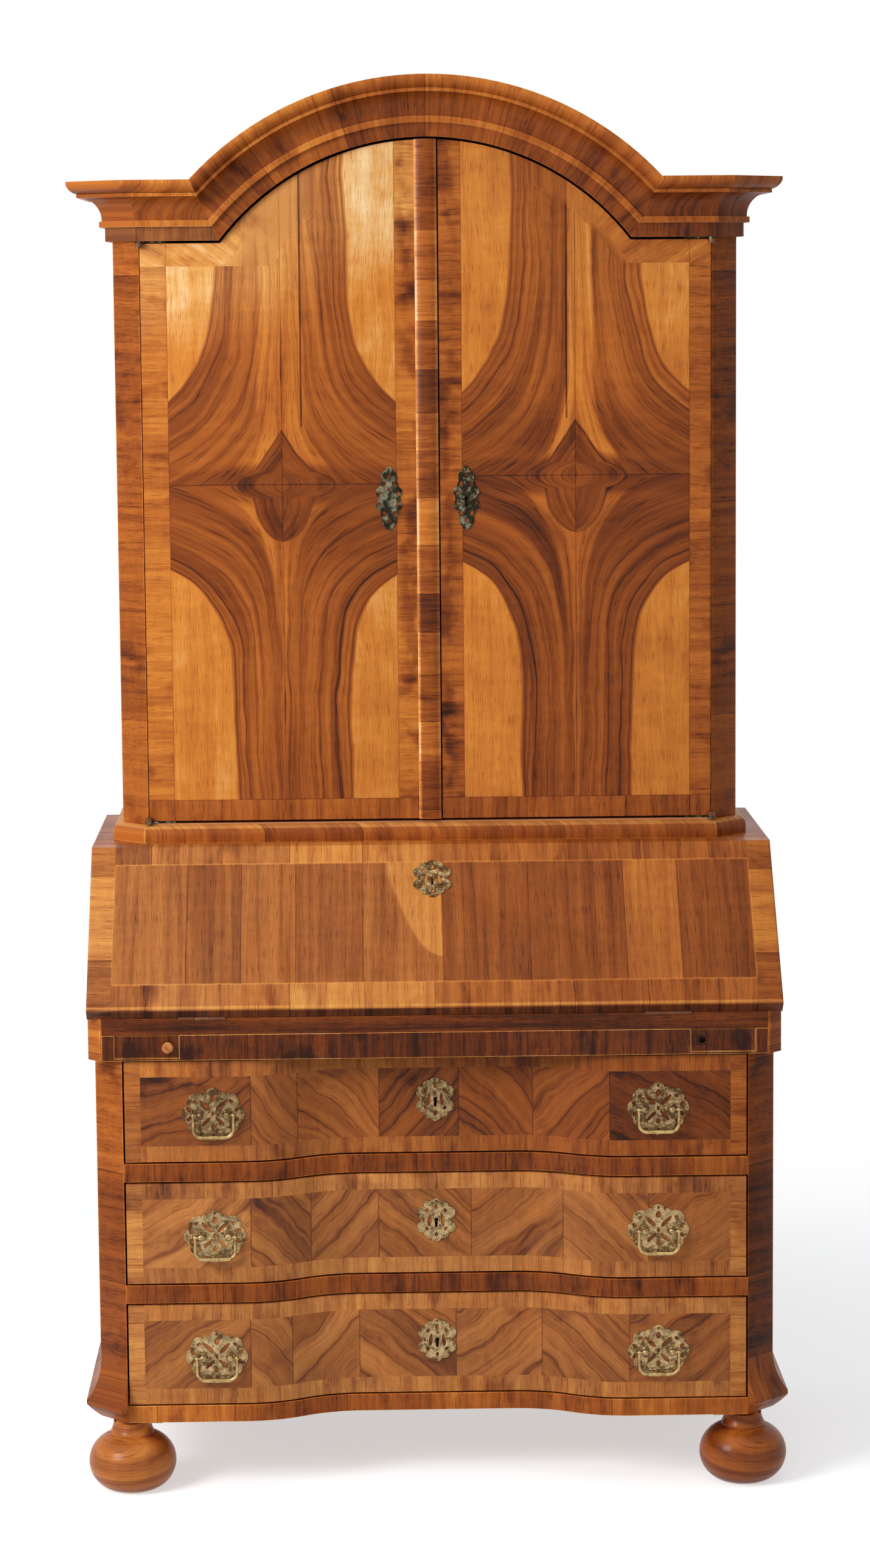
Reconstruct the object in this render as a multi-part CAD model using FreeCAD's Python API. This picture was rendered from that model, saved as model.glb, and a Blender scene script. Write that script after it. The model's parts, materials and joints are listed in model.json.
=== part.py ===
import FreeCAD, Part
import math
import os

Vector = FreeCAD.Vector

# Commode, millimetres
case_width = 1058.0
case_depth = 567.0
board = 22.0
back_board = 12.0
post_width = 44.0
post_depth = 60.0
bottom_thickness = 27.0
drawer_opening = 164.0
divider_thickness = 29.0
dust_board = 10.0
deck_thickness = 12.0
deck_set_back = 5.0
rail_depth = 122.0
hollow_depth = 50.0
hollow_half_width = 120.0
shoulder_half_width = 300.0

# Bun feet and base
foot_height = 108.0
bun_height = 88.0
bun_radius = 68.5
bun_seat_radius = 36.0
neck_radius = 29.0
waist_radius = 30.5
collar_radius = 34.0
collar_height = 4.0
foot_inset = 47.0
runner_thickness = 8.0
runner_width = 72.0
runner_inset = 24.0
flare = 23.0
flare_height = 89.0
flare_tip = 6.0
flare_under = 22.0
flare_belly_reach = 8.0
flare_belly_rise = 6.6

# Drawers
drawer_count = 3
drawer_gap = 2.5
run_gap = 0.5
side_gap = 1.0
front_thickness = 22.0
box_board = 12.0
box_bottom = 8.0
box_bottom_rise = 6.0
box_height = 128.0
box_back_room = 20.0
guide_height = 32.0

# Desk
desk_step = 8.0
desk_corner_cut = 20.0
frieze_height = 40.0
frieze_rail_depth = 22.0
writing_thickness = 26.0
desk_rise = 240.0
desk_top_thickness = 20.0
fall_slope = 47.3
fall_thickness = 26.0
fall_gap = 0.6
fall_thumbnail = 4.0
fall_lock_drop = 66.0

# Lopers
loper_width = 99.0
loper_inset = 42.0
loper_length = 420.0
loper_ledge = 4.0
loper_top_gap = 1.0
loper_gap = 0.5
loper_set_back = 2.0
channel_wall = 10.0
knob_radius = 9.0
knob_length = 14.0
knob_neck = 5.0
knob_widest = 9.8
knob_end_radius = 5.4
knob_hole_radius = 5.0
knob_hole_depth = 16.0
knob_edge = 17.0

# Pigeonholes and small drawers
pigeonhole_depth = 240.0
pigeonhole_board = 8.0
pigeonhole_count = 6
small_drawer_count = 3
small_drawer_opening = 62.0
small_front = 10.0
small_board = 6.0
small_bottom = 4.0
small_knob_radius = 7.0
small_knob_stem = 3.5
valance_height = 22.0
valance_thickness = 6.0
valance_crown = 6.6

# Upper cabinet
cabinet_step = 37.0
cabinet_post = 43.0
cabinet_post_depth = 50.0
cabinet_base = 30.0
cabinet_bottom_board = 20.0
opening_height = 919.0
arch_radius = 410.0
arch_half_chord = 323.4
arch_overrun = 2.0
door_thickness = 22.0
door_gap = 1.0
door_end_gap = 3.5
meeting_gap = 2.0
astragal_width = 35.0
astragal_depth = 7.5
astragal_edge = 2.5
roof_rise = 36.0
roof_thickness = 10.0
cabinet_side_drop = 10.0
pediment_drop = 4.0
shelf_count = 2
shelf_thickness = 18.0
shelf_set_back = 4.0
bearer_height = 24.0
bearer_width = 16.0
base_moulding_height = 28.0
base_moulding_reach = 16.0
base_moulding_set_back = 3.0
base_nosing = 12.6
base_round_drop = 4.0
base_round_reach = 11.5
base_top_reach = 3.2

# Cornice, heights above the door opening and reach from the cabinet's face
cornice_height = 93.0
cornice_reach = 70.0
fascia_height = 22.0
fascia_reach = 11.0
fillet_height = 9.0
fillet_reach = 20.0
cove_set_back = 4.0
cove_height = 37.0
cove_reach = 48.0
lip_height = 5.0
lip_step = 6.0
quirk = 3.0
crown_height = 15.0
crown_swell = 2.5

# Brass
plate_thickness = 2.0
pull_spread = 345.0
pull_unit = 1.15
key_unit = 1.04
door_plate_unit = 1.04
pull_rise = -4.0
key_rise = 5.0
bail_half_width = 31.0
bail_drop = 35.0
bail_bend = 13.0
bail_wire = 3.0
bail_knob_radius = 3.75
bail_stand_off = 11.0
post_spread = 21.0
post_radius = 4.5
post_length = 15.0
pin_radius = 2.2
pin_clearance = 0.05
pin_overrun = 1.0
keyhole_radius = 3.0
keyhole_length = 12.0
keyhole_slot = 3.3
lock_width = 70.0
lock_height = 52.0
lock_depth = 12.0
door_plate_spread = 61.0
door_plate_rise = 513.0
door_lock_width = 62.0
hinge_plate = 2.5
hinge_plate_length = 42.0
hinge_plate_width = 13.0
hinge_eye_radius = 5.5
hinge_stand_off = 6.5
hinge_eye_length = 6.5
hinge_pin_radius = 2.4
hinge_run_gap = 0.2
fall_hinge_spread = 360.0
fall_hinge_length = 72.0
fall_hinge_leaf = 32.0
fall_hinge_leaf_thickness = 2.0
fall_knuckle_radius = 3.5
fall_pin_radius = 1.7

# Allowances for cutting bodies and for telling planes apart
overcut = 1.0
same_plane = 0.01

# Planes and levels worked out from the sizes above
back = (case_depth + flare) / 2
case_front = back - case_depth
case_half = case_width / 2
inner_half = case_half - board
opening_half = case_half - post_width
base_level = foot_height + runner_thickness
floor_level = base_level + bottom_thickness
drawer_pitch = drawer_opening + divider_thickness
case_top = floor_level + drawer_count * drawer_pitch - divider_thickness
deck_front = case_front + hollow_depth + front_thickness + deck_set_back
rail_back = case_front + rail_depth

desk_half = case_half + desk_step
desk_inner = desk_half - board
desk_front = case_front - desk_step
writing_under = case_top + frieze_height
writing_level = writing_under + writing_thickness
desk_level = writing_level + desk_rise
desk_top_under = desk_level - desk_top_thickness
back_face = back - back_board
slope = math.radians(fall_slope)
along = Vector(0, math.cos(slope), math.sin(slope))
outward = Vector(0, -math.sin(slope), math.cos(slope))
hinge_point = Vector(0, desk_front, writing_level)
gable_offset = fall_gap / math.sin(slope)
desk_top_front = desk_front + desk_rise / math.tan(slope) + gable_offset

loper_outer = desk_half - loper_inset
loper_inner = loper_outer - loper_width
loper_bottom = case_top + loper_ledge + loper_gap
loper_top = writing_under - loper_top_gap

cabinet_half = case_half - cabinet_step
cabinet_inner = cabinet_half - board
cabinet_front = desk_top_front + base_moulding_set_back + base_moulding_reach
cabinet_floor = desk_level + cabinet_base
door_opening_half = cabinet_half - cabinet_post
head_level = cabinet_floor + opening_height
arch_drop = math.sqrt(arch_radius ** 2 - arch_half_chord ** 2)
arch_level = head_level - arch_drop
door_half = door_opening_half - door_gap
door_bottom = cabinet_floor + door_end_gap
meeting_line = astragal_width / 2
door_hinge_y = cabinet_front - hinge_stand_off
door_hinge_x = door_opening_half - door_gap / 2


def box(x0, x1, y0, y1, z0, z1):
    return Part.makeBox(x1 - x0, y1 - y0, z1 - z0, Vector(x0, y0, z0))


def mirrored(shape):
    return shape.mirror(Vector(0, 0, 0), Vector(1, 0, 0))


def pair(shape):
    return [shape, mirrored(shape)]


def moved(shape, x, y, z):
    copy = shape.copy()
    copy.translate(Vector(x, y, z))
    return copy


def arc(start, middle, end):
    return Part.Arc(start, middle, end).toShape()


def line(start, end):
    return Part.makeLine(start, end)


def prism(edges, direction):
    return Part.Face(Part.Wire(edges)).extrude(direction)


def polygon(points):
    return Part.Wire(Part.makePolygon(points + points[:1]))


def slab(points, direction):
    return Part.Face(polygon(points)).extrude(direction)


# Plan of a case with its two front corners cut off at 45 degrees
def canted_case(half, front, cut, z0, z1):
    corners = [
        Vector(-half, front + cut, z0),
        Vector(-half + cut, front, z0),
        Vector(half - cut, front, z0),
        Vector(half, front + cut, z0),
        Vector(half, back, z0),
        Vector(-half, back, z0),
    ]
    return slab(corners, Vector(0, 0, z1 - z0))


def canted_post(inner, outer, front, depth, z0, z1):
    corners = [
        Vector(inner, front, z0),
        Vector(outer, front + outer - inner, z0),
        Vector(outer, front + depth, z0),
        Vector(inner, front + depth, z0),
    ]
    return slab(corners, Vector(0, 0, z1 - z0))


def rod(radius, start, direction, length):
    return Part.makeCylinder(radius, length, start, direction)


def save(name, solids):
    shape = solids[0] if len(solids) == 1 else Part.Compound(solids)
    shape.exportStep(os.path.join("parts", name + ".step"))


def drawer_level(number):
    return floor_level + number * drawer_pitch


# Serpentine plan line: flat ends, two tangent arcs each side, flat hollow
def serpentine(half, front, z):
    span = (shoulder_half_width - hollow_half_width) / 2
    rise = hollow_depth / 2
    radius = (span ** 2 + rise ** 2) / (2 * rise)
    half_turn = math.asin(span / radius) / 2
    reach = radius * math.sin(half_turn)
    sink = radius * (1 - math.cos(half_turn))
    deep = front + hollow_depth

    def quarter(side):
        shoulder = Vector(side * shoulder_half_width, front, z)
        middle = Vector(side * (shoulder_half_width - span), front + rise, z)
        hollow = Vector(side * hollow_half_width, deep, z)
        bulge = Vector(side * (shoulder_half_width - reach), front + sink, z)
        cup = Vector(side * (hollow_half_width + reach), deep - sink, z)
        return shoulder, bulge, middle, cup, hollow

    left = quarter(-1)
    right = quarter(1)
    return [
        line(Vector(-half, front, z), left[0]),
        arc(left[0], left[1], left[2]),
        arc(left[2], left[3], left[4]),
        line(left[4], right[4]),
        arc(right[4], right[3], right[2]),
        arc(right[2], right[1], right[0]),
        line(right[0], Vector(half, front, z)),
    ]


def serpentine_board(half, front, rear, z0, z1):
    edges = serpentine(half, front, z0)
    edges.append(line(Vector(half, front, z0), Vector(half, rear, z0)))
    edges.append(line(Vector(half, rear, z0), Vector(-half, rear, z0)))
    edges.append(line(Vector(-half, rear, z0), Vector(-half, front, z0)))
    return prism(edges, Vector(0, 0, z1 - z0))


def serpentine_panel(half, front, thickness, z0, z1):
    rear = front + thickness
    edges = serpentine(half, front, z0) + serpentine(half, rear, z0)
    edges.append(line(Vector(half, front, z0), Vector(half, rear, z0)))
    edges.append(line(Vector(-half, front, z0), Vector(-half, rear, z0)))
    return prism(Part.__sortEdges__(edges), Vector(0, 0, z1 - z0))


# Mouldings: a profile lists (reach, height) ends, with a middle point where the stretch is an arc
def profile_edges(profile, place):
    edges = []
    here = profile[0][-1]
    for stretch in profile[1:]:
        there = stretch[-1]
        if len(stretch) == 2:
            edges.append(arc(place(*here), place(*stretch[0]), place(*there)))
        else:
            edges.append(line(place(*here), place(*there)))
        here = there
    return edges


# Everything behind a moulding that runs across the right-hand canted corner
def corner_run(profile, half, front, cut):
    low = profile[0][-1][1]
    high = profile[-1][-1][1]
    turn = math.sqrt(0.5)
    out = Vector(turn, -turn, 0)
    run = Vector(turn, turn, 0)
    span = 2 * (half + back - front)
    start = Vector(half - cut / 2, front + cut / 2, 0) - run * span

    def place(p, z):
        return start + out * p + Vector(0, 0, z)

    edges = profile_edges(profile, place)
    edges.append(line(place(0, low), place(-span, low)))
    edges.append(line(place(-span, low), place(-span, high)))
    edges.append(line(place(-span, high), place(0, high)))
    return prism(Part.__sortEdges__(edges), run * 2 * span)


def mitred_band(profile, half, front, cut):
    low = profile[0][-1][1]
    high = profile[-1][-1][1]
    reach = max(stretch[-1][0] for stretch in profile) + overcut
    right = profile_edges(profile, lambda p, z: Vector(half + p, front - reach, z))
    left = profile_edges(profile, lambda p, z: Vector(-half - p, front - reach, z))
    low_edge = line(Vector(-half, front - reach, low), Vector(half, front - reach, low))
    high_edge = line(Vector(-half, front - reach, high), Vector(half, front - reach, high))
    edges = Part.__sortEdges__(right + left + [low_edge, high_edge])
    across = prism(edges, Vector(0, back - front + reach, 0))
    face = profile_edges(profile, lambda p, z: Vector(-half - reach, front - p, z))
    low_edge = line(Vector(-half - reach, front, low), Vector(-half - reach, back, low))
    high_edge = line(Vector(-half - reach, front, high), Vector(-half - reach, back, high))
    rear_edge = line(Vector(-half - reach, back, low), Vector(-half - reach, back, high))
    edges = Part.__sortEdges__(face + [low_edge, high_edge, rear_edge])
    along_front = prism(edges, Vector(2 * (half + reach), 0, 0))
    corner = corner_run(profile, half, front, cut)
    core = canted_case(half, front, cut, low - overcut, high + overcut)
    band = across.common(along_front).common(corner).common(mirrored(corner))
    return band.cut(core)


# Door head line: level, arc, level, at a height above the door opening
def head_points(height):
    radius = arch_radius + height
    level = head_level + height
    half = math.sqrt(radius ** 2 - (level - arch_level) ** 2)
    return radius, level, half


def head_edges(height, half, y):
    radius, level, spring = head_points(height)
    start = Vector(-spring, y, level)
    end = Vector(spring, y, level)
    return [
        line(Vector(-half, y, level), start),
        arc(start, Vector(0, y, arch_level + radius), end),
        line(end, Vector(half, y, level)),
    ]


def head_panel(bottom, height, half, y0, y1):
    level = head_level + height
    edges = head_edges(height, half, y0)
    edges.append(line(Vector(half, y0, level), Vector(half, y0, bottom)))
    edges.append(line(Vector(half, y0, bottom), Vector(-half, y0, bottom)))
    edges.append(line(Vector(-half, y0, bottom), Vector(-half, y0, level)))
    return prism(edges, Vector(0, y1 - y0, 0))


def bun_foot():
    seat = Vector(bun_seat_radius, 0, 0)
    belly = Vector(bun_radius, 0, bun_height / 2)
    shoulder = Vector(collar_radius, 0, bun_height)
    collar = Vector(collar_radius, 0, bun_height + collar_height)
    neck = Vector(neck_radius, 0, foot_height)
    waist_height = (collar.z + neck.z) / 2
    waist = Vector(waist_radius, 0, waist_height)
    edges = [
        line(Vector(0, 0, 0), seat),
        arc(seat, belly, shoulder),
        line(shoulder, collar),
        arc(collar, waist, neck),
        line(neck, Vector(0, 0, foot_height)),
        line(Vector(0, 0, foot_height), Vector(0, 0, 0)),
    ]
    turned = Part.Face(Part.Wire(edges)).revolve(Vector(0, 0, 0), Vector(0, 0, 1), 360)
    return Part.Solid(turned) if turned.ShapeType == "Shell" else turned


def make_feet():
    foot_x = case_half - foot_inset
    front_y = case_front + foot_inset
    rear_y = back - flare - foot_inset
    foot = bun_foot()
    save("bun_feet", pair(moved(foot, foot_x, front_y, 0)) + pair(moved(foot, foot_x, rear_y, 0)))


def make_base():
    outer = case_half - runner_inset
    runner = box(outer - runner_width, outer, case_front + runner_inset, back, foot_height, base_level)
    rail = serpentine_board(opening_half, case_front, rail_back, base_level, floor_level)
    save("base_frame", [rail] + pair(runner))
    tip = base_level + flare_under
    top = base_level + flare_height
    drop = top - tip - flare_tip
    sweep = (flare ** 2 + drop ** 2) / (2 * flare)
    half_turn = math.asin(drop / sweep) / 2
    hollow = (sweep * (1 - math.cos(half_turn)), top - sweep * math.sin(half_turn))
    under = (flare_belly_reach, base_level + flare_belly_rise)
    profile = [
        ((0, base_level),),
        (under, (flare, tip)),
        ((flare, tip + flare_tip),),
        (hollow, (0, top)),
    ]
    band = mitred_band(profile, case_half, case_front, post_width)
    reach = case_half + flare + overcut
    side = box(opening_half, reach, case_front - flare - overcut, back, base_level, top)
    right = band.common(side)
    save("base_moulding_right", [right])
    save("base_moulding_left", [mirrored(right)])


def make_commode():
    side = box(inner_half, case_half, case_front + post_depth, back, base_level, case_top)
    post = canted_post(opening_half, case_half, case_front, post_depth, base_level, case_top)
    save("commode_side_right", [side])
    save("commode_side_left", [mirrored(side)])
    save("commode_posts", pair(post))
    save("commode_bottom", [box(-inner_half, inner_half, rail_back, back_face, base_level, floor_level)])
    deck = box(-inner_half, inner_half, deck_front, back_face, case_top - deck_thickness, case_top)
    save("commode_top", [deck])
    rails = []
    dust = []
    guides = []
    for number in range(drawer_count):
        level = drawer_level(number)
        guide_top = level + guide_height
        guide = box(opening_half, inner_half, case_front + post_depth, back_face, level, guide_top)
        guides += pair(guide)
        if number > 0:
            under = level - divider_thickness
            rails.append(serpentine_board(opening_half, case_front, rail_back, under, level))
            dust.append(box(-inner_half, inner_half, rail_back, back_face, level - dust_board, level))
    save("drawer_dividers", rails + dust)
    save("drawer_guides", guides)
    lower = box(-inner_half, inner_half, back_face, back, base_level, case_top)
    upper = box(-desk_inner, desk_inner, back_face, back, case_top, desk_top_under)
    save("back_boards", [lower, upper])


# Keyhole: a round over a slot, cut along a direction
def keyhole(centre, direction, up, length):
    side = up.cross(direction)
    start = centre - direction * length / 2
    round_part = rod(keyhole_radius, start, direction, length)
    half = keyhole_slot / 2
    corners = [
        start + side * half,
        start + side * half - up * keyhole_length,
        start - side * half - up * keyhole_length,
        start - side * half,
    ]
    return round_part.fuse(slab(corners, direction * length))


# Flat brass lobes joined into one plate that faces -Y, standing on y = 0
def lobed_plate(lobes, holes):
    facing = Vector(0, -1, 0)
    discs = [rod(radius, Vector(x, 0, z), facing, plate_thickness) for x, z, radius in lobes]
    plate = discs[0].multiFuse(discs[1:]).removeSplitter()
    for x, z, radius in holes:
        plate = plate.cut(rod(radius, Vector(x, overcut, z), facing, plate_thickness + 2 * overcut))
    return plate


def both(lobes):
    return [(side * x, z, radius) for x, z, radius in lobes for side in (-1, 1)]


def scaled(table, unit):
    return [tuple(value * unit for value in row) for row in table]


def pull_plate():
    lobes = [(0, 2, 27)] + both([(26, 2, 16), (22, 20, 13), (22, -16, 13), (11, -30, 9)])
    lobes += [(0, 32, 12), (0, -36, 8)]
    holes = both([(13, 15, 4.5), (14, -12, 4.5), (33, 12, 3)]) + [(0, 26, 4), (0, -24, 4)]
    return lobed_plate(scaled(lobes, pull_unit), scaled(holes, pull_unit))


def key_plate():
    lobes = [(0, 0, 19), (0, 27, 9), (0, -27, 9)]
    lobes += both([(16, 12, 9), (16, -12, 9), (8, 20, 9), (8, -20, 9)])
    holes = both([(15, 0, 3)]) + [(0, 20, 3.5), (0, -22, 3)]
    return lobed_plate(scaled(lobes, key_unit), scaled(holes, key_unit))


def door_plate():
    lobes = [(0, 30, 12), (0, 12, 13), (0, -6, 15), (0, -24, 12), (0, -40, 7)]
    lobes += both([(13, 8, 8), (14, -10, 8), (9, 40, 6)])
    holes = [(0, 31, 5), (0, -26, 4), (0, -40, 2.5)] + both([(13, 8, 3), (14, -10, 3)])
    return lobed_plate(scaled(lobes, door_plate_unit), scaled(holes, door_plate_unit))


def pull_posts(x, y, z):
    posts = []
    for side in (-1, 1):
        centre = Vector(x + side * post_spread, y, z)
        stem = rod(post_radius, centre, Vector(0, -1, 0), post_length)
        ear = Vector(centre.x - post_radius - overcut, y - bail_stand_off, z)
        hole = rod(pin_radius + pin_clearance, ear, Vector(1, 0, 0), 2 * (post_radius + overcut))
        posts.append(stem.cut(hole))
    return posts


# Bent wire of a bail: two arms, two round bends and a level bar
def bail_loop(axis):
    def spot(x, z):
        return axis + Vector(x, 0, z)

    half = bail_half_width
    flat = half - bail_bend
    knee = bail_bend - bail_drop
    turn = bail_bend * (1 - math.sqrt(0.5))
    path = Part.Wire([
        line(spot(-half, 0), spot(-half, knee)),
        arc(spot(-half, knee), spot(turn - half, turn - bail_drop), spot(-flat, -bail_drop)),
        line(spot(-flat, -bail_drop), spot(flat, -bail_drop)),
        arc(spot(flat, -bail_drop), spot(half - turn, turn - bail_drop), spot(half, knee)),
        line(spot(half, knee), spot(half, 0)),
    ])
    wire = Part.Wire(Part.makeCircle(bail_wire, spot(-half, 0), Vector(0, 0, -1)))
    return path.makePipeShell([wire], True, True)


def bail(x, y, z):
    axis = Vector(x, y - bail_stand_off, z)
    loop = bail_loop(axis)
    inward = bail_half_width - post_spread + post_radius + pin_overrun
    for side in (-1, 1):
        end = Vector(x + side * bail_half_width, axis.y, z)
        pin = rod(pin_radius, end, Vector(-side, 0, 0), inward)
        knob = Part.makeSphere(bail_knob_radius, end)
        loop = loop.fuse(pin.fuse(knob))
    return loop.removeSplitter()


def make_drawer(number):
    name = "drawer_%d" % (drawer_count - number)
    level = drawer_level(number)
    low = level + drawer_gap
    high = level + drawer_opening - drawer_gap
    middle = (low + high) / 2
    hollow_face = case_front + hollow_depth
    pull_level = middle + pull_rise
    key_level = middle + key_rise
    front = serpentine_panel(opening_half - drawer_gap, case_front, front_thickness, low, high)
    key = keyhole(Vector(0, hollow_face, key_level), Vector(0, 1, 0), Vector(0, 0, 1), 3 * front_thickness)
    save(name + "_front", [front.cut(key)])

    outer = opening_half - side_gap
    inside = outer - box_board
    inner_face = case_front + front_thickness
    box_back = back_face - box_back_room
    bottom = level + run_gap
    top = bottom + box_height
    side = box(inside, outer, inner_face, box_back, bottom, top)
    rear = box(-inside, inside, box_back - box_board, box_back, bottom, top)
    panel_low = bottom + box_bottom_rise
    panel = serpentine_board(inside, inner_face, box_back - box_board, panel_low, panel_low + box_bottom)
    save(name + "_box", pair(side) + [rear, panel])

    solids = []
    bails = {}
    for side_name, x in (("left", -pull_spread), ("right", pull_spread)):
        plate = moved(pull_plate(), x, case_front, pull_level)
        solids.append(plate)
        solids += pull_posts(x, case_front - plate_thickness, pull_level)
        bails[side_name] = bail(x, case_front - plate_thickness, pull_level)
    key_cut = keyhole(Vector(0, hollow_face, key_level), Vector(0, 1, 0), Vector(0, 0, 1), front_thickness)
    solids.append(moved(key_plate(), 0, hollow_face, key_level).cut(key_cut))
    lock_face = hollow_face + front_thickness
    lock_top = key_level + lock_height / 2
    solids.append(box(-lock_width / 2, lock_width / 2, lock_face, lock_face + lock_depth,
                      lock_top - lock_height, lock_top))
    save(name + "_brasses", solids)
    for side_name in bails:
        save("%s_bail_%s" % (name, side_name), [bails[side_name]])


def gable(x0, x1):
    top_y = desk_front + (desk_rise - desk_top_thickness) / math.tan(slope) + gable_offset
    corners = [
        Vector(x0, desk_front, case_top),
        Vector(x0, desk_front, writing_level),
        Vector(x0, desk_front + gable_offset, writing_level),
        Vector(x0, top_y, desk_top_under),
        Vector(x0, back, desk_top_under),
        Vector(x0, back, case_top),
    ]
    side = slab(corners, Vector(x1 - x0, 0, 0))
    outer = x1 + overcut
    cut = desk_corner_cut + overcut
    low = case_top - overcut
    corner = [
        Vector(outer - cut, desk_front - overcut, low),
        Vector(outer, desk_front - overcut, low),
        Vector(outer, desk_front - overcut + cut, low),
    ]
    return side.cut(slab(corner, Vector(0, 0, writing_level - low)))


def make_desk():
    side = gable(desk_inner, desk_half)
    save("desk_side_right", [side])
    save("desk_side_left", [mirrored(side)])
    rail_rear = desk_front + frieze_rail_depth
    rail = box(-desk_inner, desk_inner, desk_front, rail_rear, case_top, writing_under)
    notch = box(loper_inner - loper_gap, loper_outer + loper_gap, desk_front - overcut, rail_rear + overcut,
                case_top + loper_ledge, writing_under + overcut)
    save("frieze_rail", [rail.cut(notch).cut(mirrored(notch))])
    writing = box(-desk_inner, desk_inner, desk_front, back_face, writing_under, writing_level)
    for recess in pair(fall_hinge_recess()):
        writing = writing.cut(recess)
    save("writing_board", [writing])
    under_front = desk_front + (desk_rise - desk_top_thickness) / math.tan(slope) + gable_offset
    corners = [
        Vector(-desk_half, under_front, desk_top_under),
        Vector(-desk_half, desk_top_front, desk_level),
        Vector(-desk_half, back, desk_level),
        Vector(-desk_half, back, desk_top_under),
    ]
    save("desk_top", [slab(corners, Vector(2 * desk_half, 0, 0))])


def make_lopers():
    front = desk_front + loper_set_back
    loper = box(loper_inner, loper_outer, front, front + loper_length, loper_bottom, loper_top)
    knob_x = loper_inner + knob_edge
    knob_z = (loper_bottom + loper_top) / 2
    mouth = Vector(knob_x, front, knob_z)
    hole = rod(knob_hole_radius, mouth, Vector(0, 1, 0), knob_hole_depth)
    bored = loper.cut(hole)
    save("loper_right", [bored])
    save("loper_left", [mirrored(bored)])

    profile = [
        Vector(0, 0, 0),
        Vector(knob_hole_radius, 0, 0),
        Vector(knob_hole_radius, -knob_neck, 0),
        Vector(knob_radius, -knob_widest, 0),
        Vector(knob_end_radius, -knob_length, 0),
        Vector(0, -knob_length, 0),
    ]
    edges = [line(profile[0], profile[1]), line(profile[1], profile[2])]
    edges.append(arc(profile[2], profile[3], profile[4]))
    edges += [line(profile[4], profile[5]), line(profile[5], profile[0])]
    head = Part.Face(Part.Wire(edges)).revolve(Vector(0, 0, 0), Vector(0, 1, 0), 360)
    dowel = rod(knob_hole_radius, Vector(0, 0, 0), Vector(0, 1, 0), knob_hole_depth)
    knob = Part.Solid(head).fuse(dowel) if head.ShapeType == "Shell" else head.fuse(dowel)
    save("loper_knob", [moved(knob.removeSplitter(), -knob_x, front, knob_z)])

    rear = desk_front + frieze_rail_depth
    wall = loper_inner - loper_gap - channel_wall
    channel = box(wall, desk_inner, rear, back_face, case_top, writing_under)
    run = box(loper_inner - loper_gap, loper_outer + loper_gap, rear - overcut, back_face + overcut,
              case_top + loper_ledge, writing_under + overcut)
    save("loper_channels", pair(channel.cut(run)))


# Fall hinge, drawn closed on the right-hand side; the barrel lies on the writing board's front edge
def fall_hinge_recess():
    x0 = fall_hinge_spread - fall_hinge_length / 2
    x1 = fall_hinge_spread + fall_hinge_length / 2
    start = Vector(x0, desk_front, writing_level)
    room = rod(fall_knuckle_radius + fall_gap, start, Vector(1, 0, 0), x1 - x0)
    leaf = box(x0, x1, desk_front, desk_front + fall_hinge_leaf,
               writing_level - fall_hinge_leaf_thickness, writing_level + overcut)
    return room.fuse(leaf)


def fall_leaf(start, x0, x1, grow):
    low = hinge_point + along * start
    high = hinge_point + along * fall_hinge_leaf
    out = outward * fall_hinge_leaf_thickness
    corners = [low - outward * grow, high - outward * grow, high + out, low + out]
    return slab([Vector(x0, p.y, p.z) for p in corners], Vector(x1 - x0, 0, 0))


def fall_hinge():
    x0 = fall_hinge_spread - fall_hinge_length / 2
    third = fall_hinge_length / 3
    axis = Vector(1, 0, 0)
    clear = fall_knuckle_radius + fall_gap
    knuckles = []
    for number in range(3):
        start = Vector(x0 + number * third + fall_gap / 2, desk_front, writing_level)
        knuckles.append(rod(fall_knuckle_radius, start, axis, third - fall_gap))
    leaf_low = writing_level - fall_hinge_leaf_thickness
    x1 = x0 + fall_hinge_length
    leaf_rear = desk_front + fall_hinge_leaf
    fixed = box(x0, x1, desk_front + clear, leaf_rear, leaf_low, writing_level)
    for number in (0, 2):
        left = x0 + number * third + fall_gap / 2
        root = box(left, left + third - fall_gap, desk_front, desk_front + clear, leaf_low, writing_level)
        fixed = fixed.fuse(root).fuse(knuckles[number])
    pin = rod(fall_pin_radius, Vector(x0, desk_front, writing_level), axis, fall_hinge_length)
    fixed = fixed.fuse(pin)
    swinging = fall_leaf(clear, x0, x0 + fall_hinge_length, 0)
    left = x0 + third + fall_gap / 2
    root = fall_leaf(0, left, left + third - fall_gap, 0)
    bore_start = Vector(x0 - overcut, desk_front, writing_level)
    bore = rod(fall_pin_radius + pin_clearance, bore_start, axis, fall_hinge_length + 2 * overcut)
    swinging = swinging.fuse(root).fuse(knuckles[1]).cut(bore)
    return fixed.removeSplitter(), swinging.removeSplitter()


def fall_section():
    start = hinge_point + along * fall_gap
    outer_start = start + outward * fall_thickness
    inner_end = hinge_point + along * (desk_rise / math.sin(slope))
    outer_rise = desk_rise - fall_thickness * math.cos(slope)
    outer_end = hinge_point + outward * fall_thickness + along * (outer_rise / math.sin(slope))
    return start, outer_start, outer_end, inner_end


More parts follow.
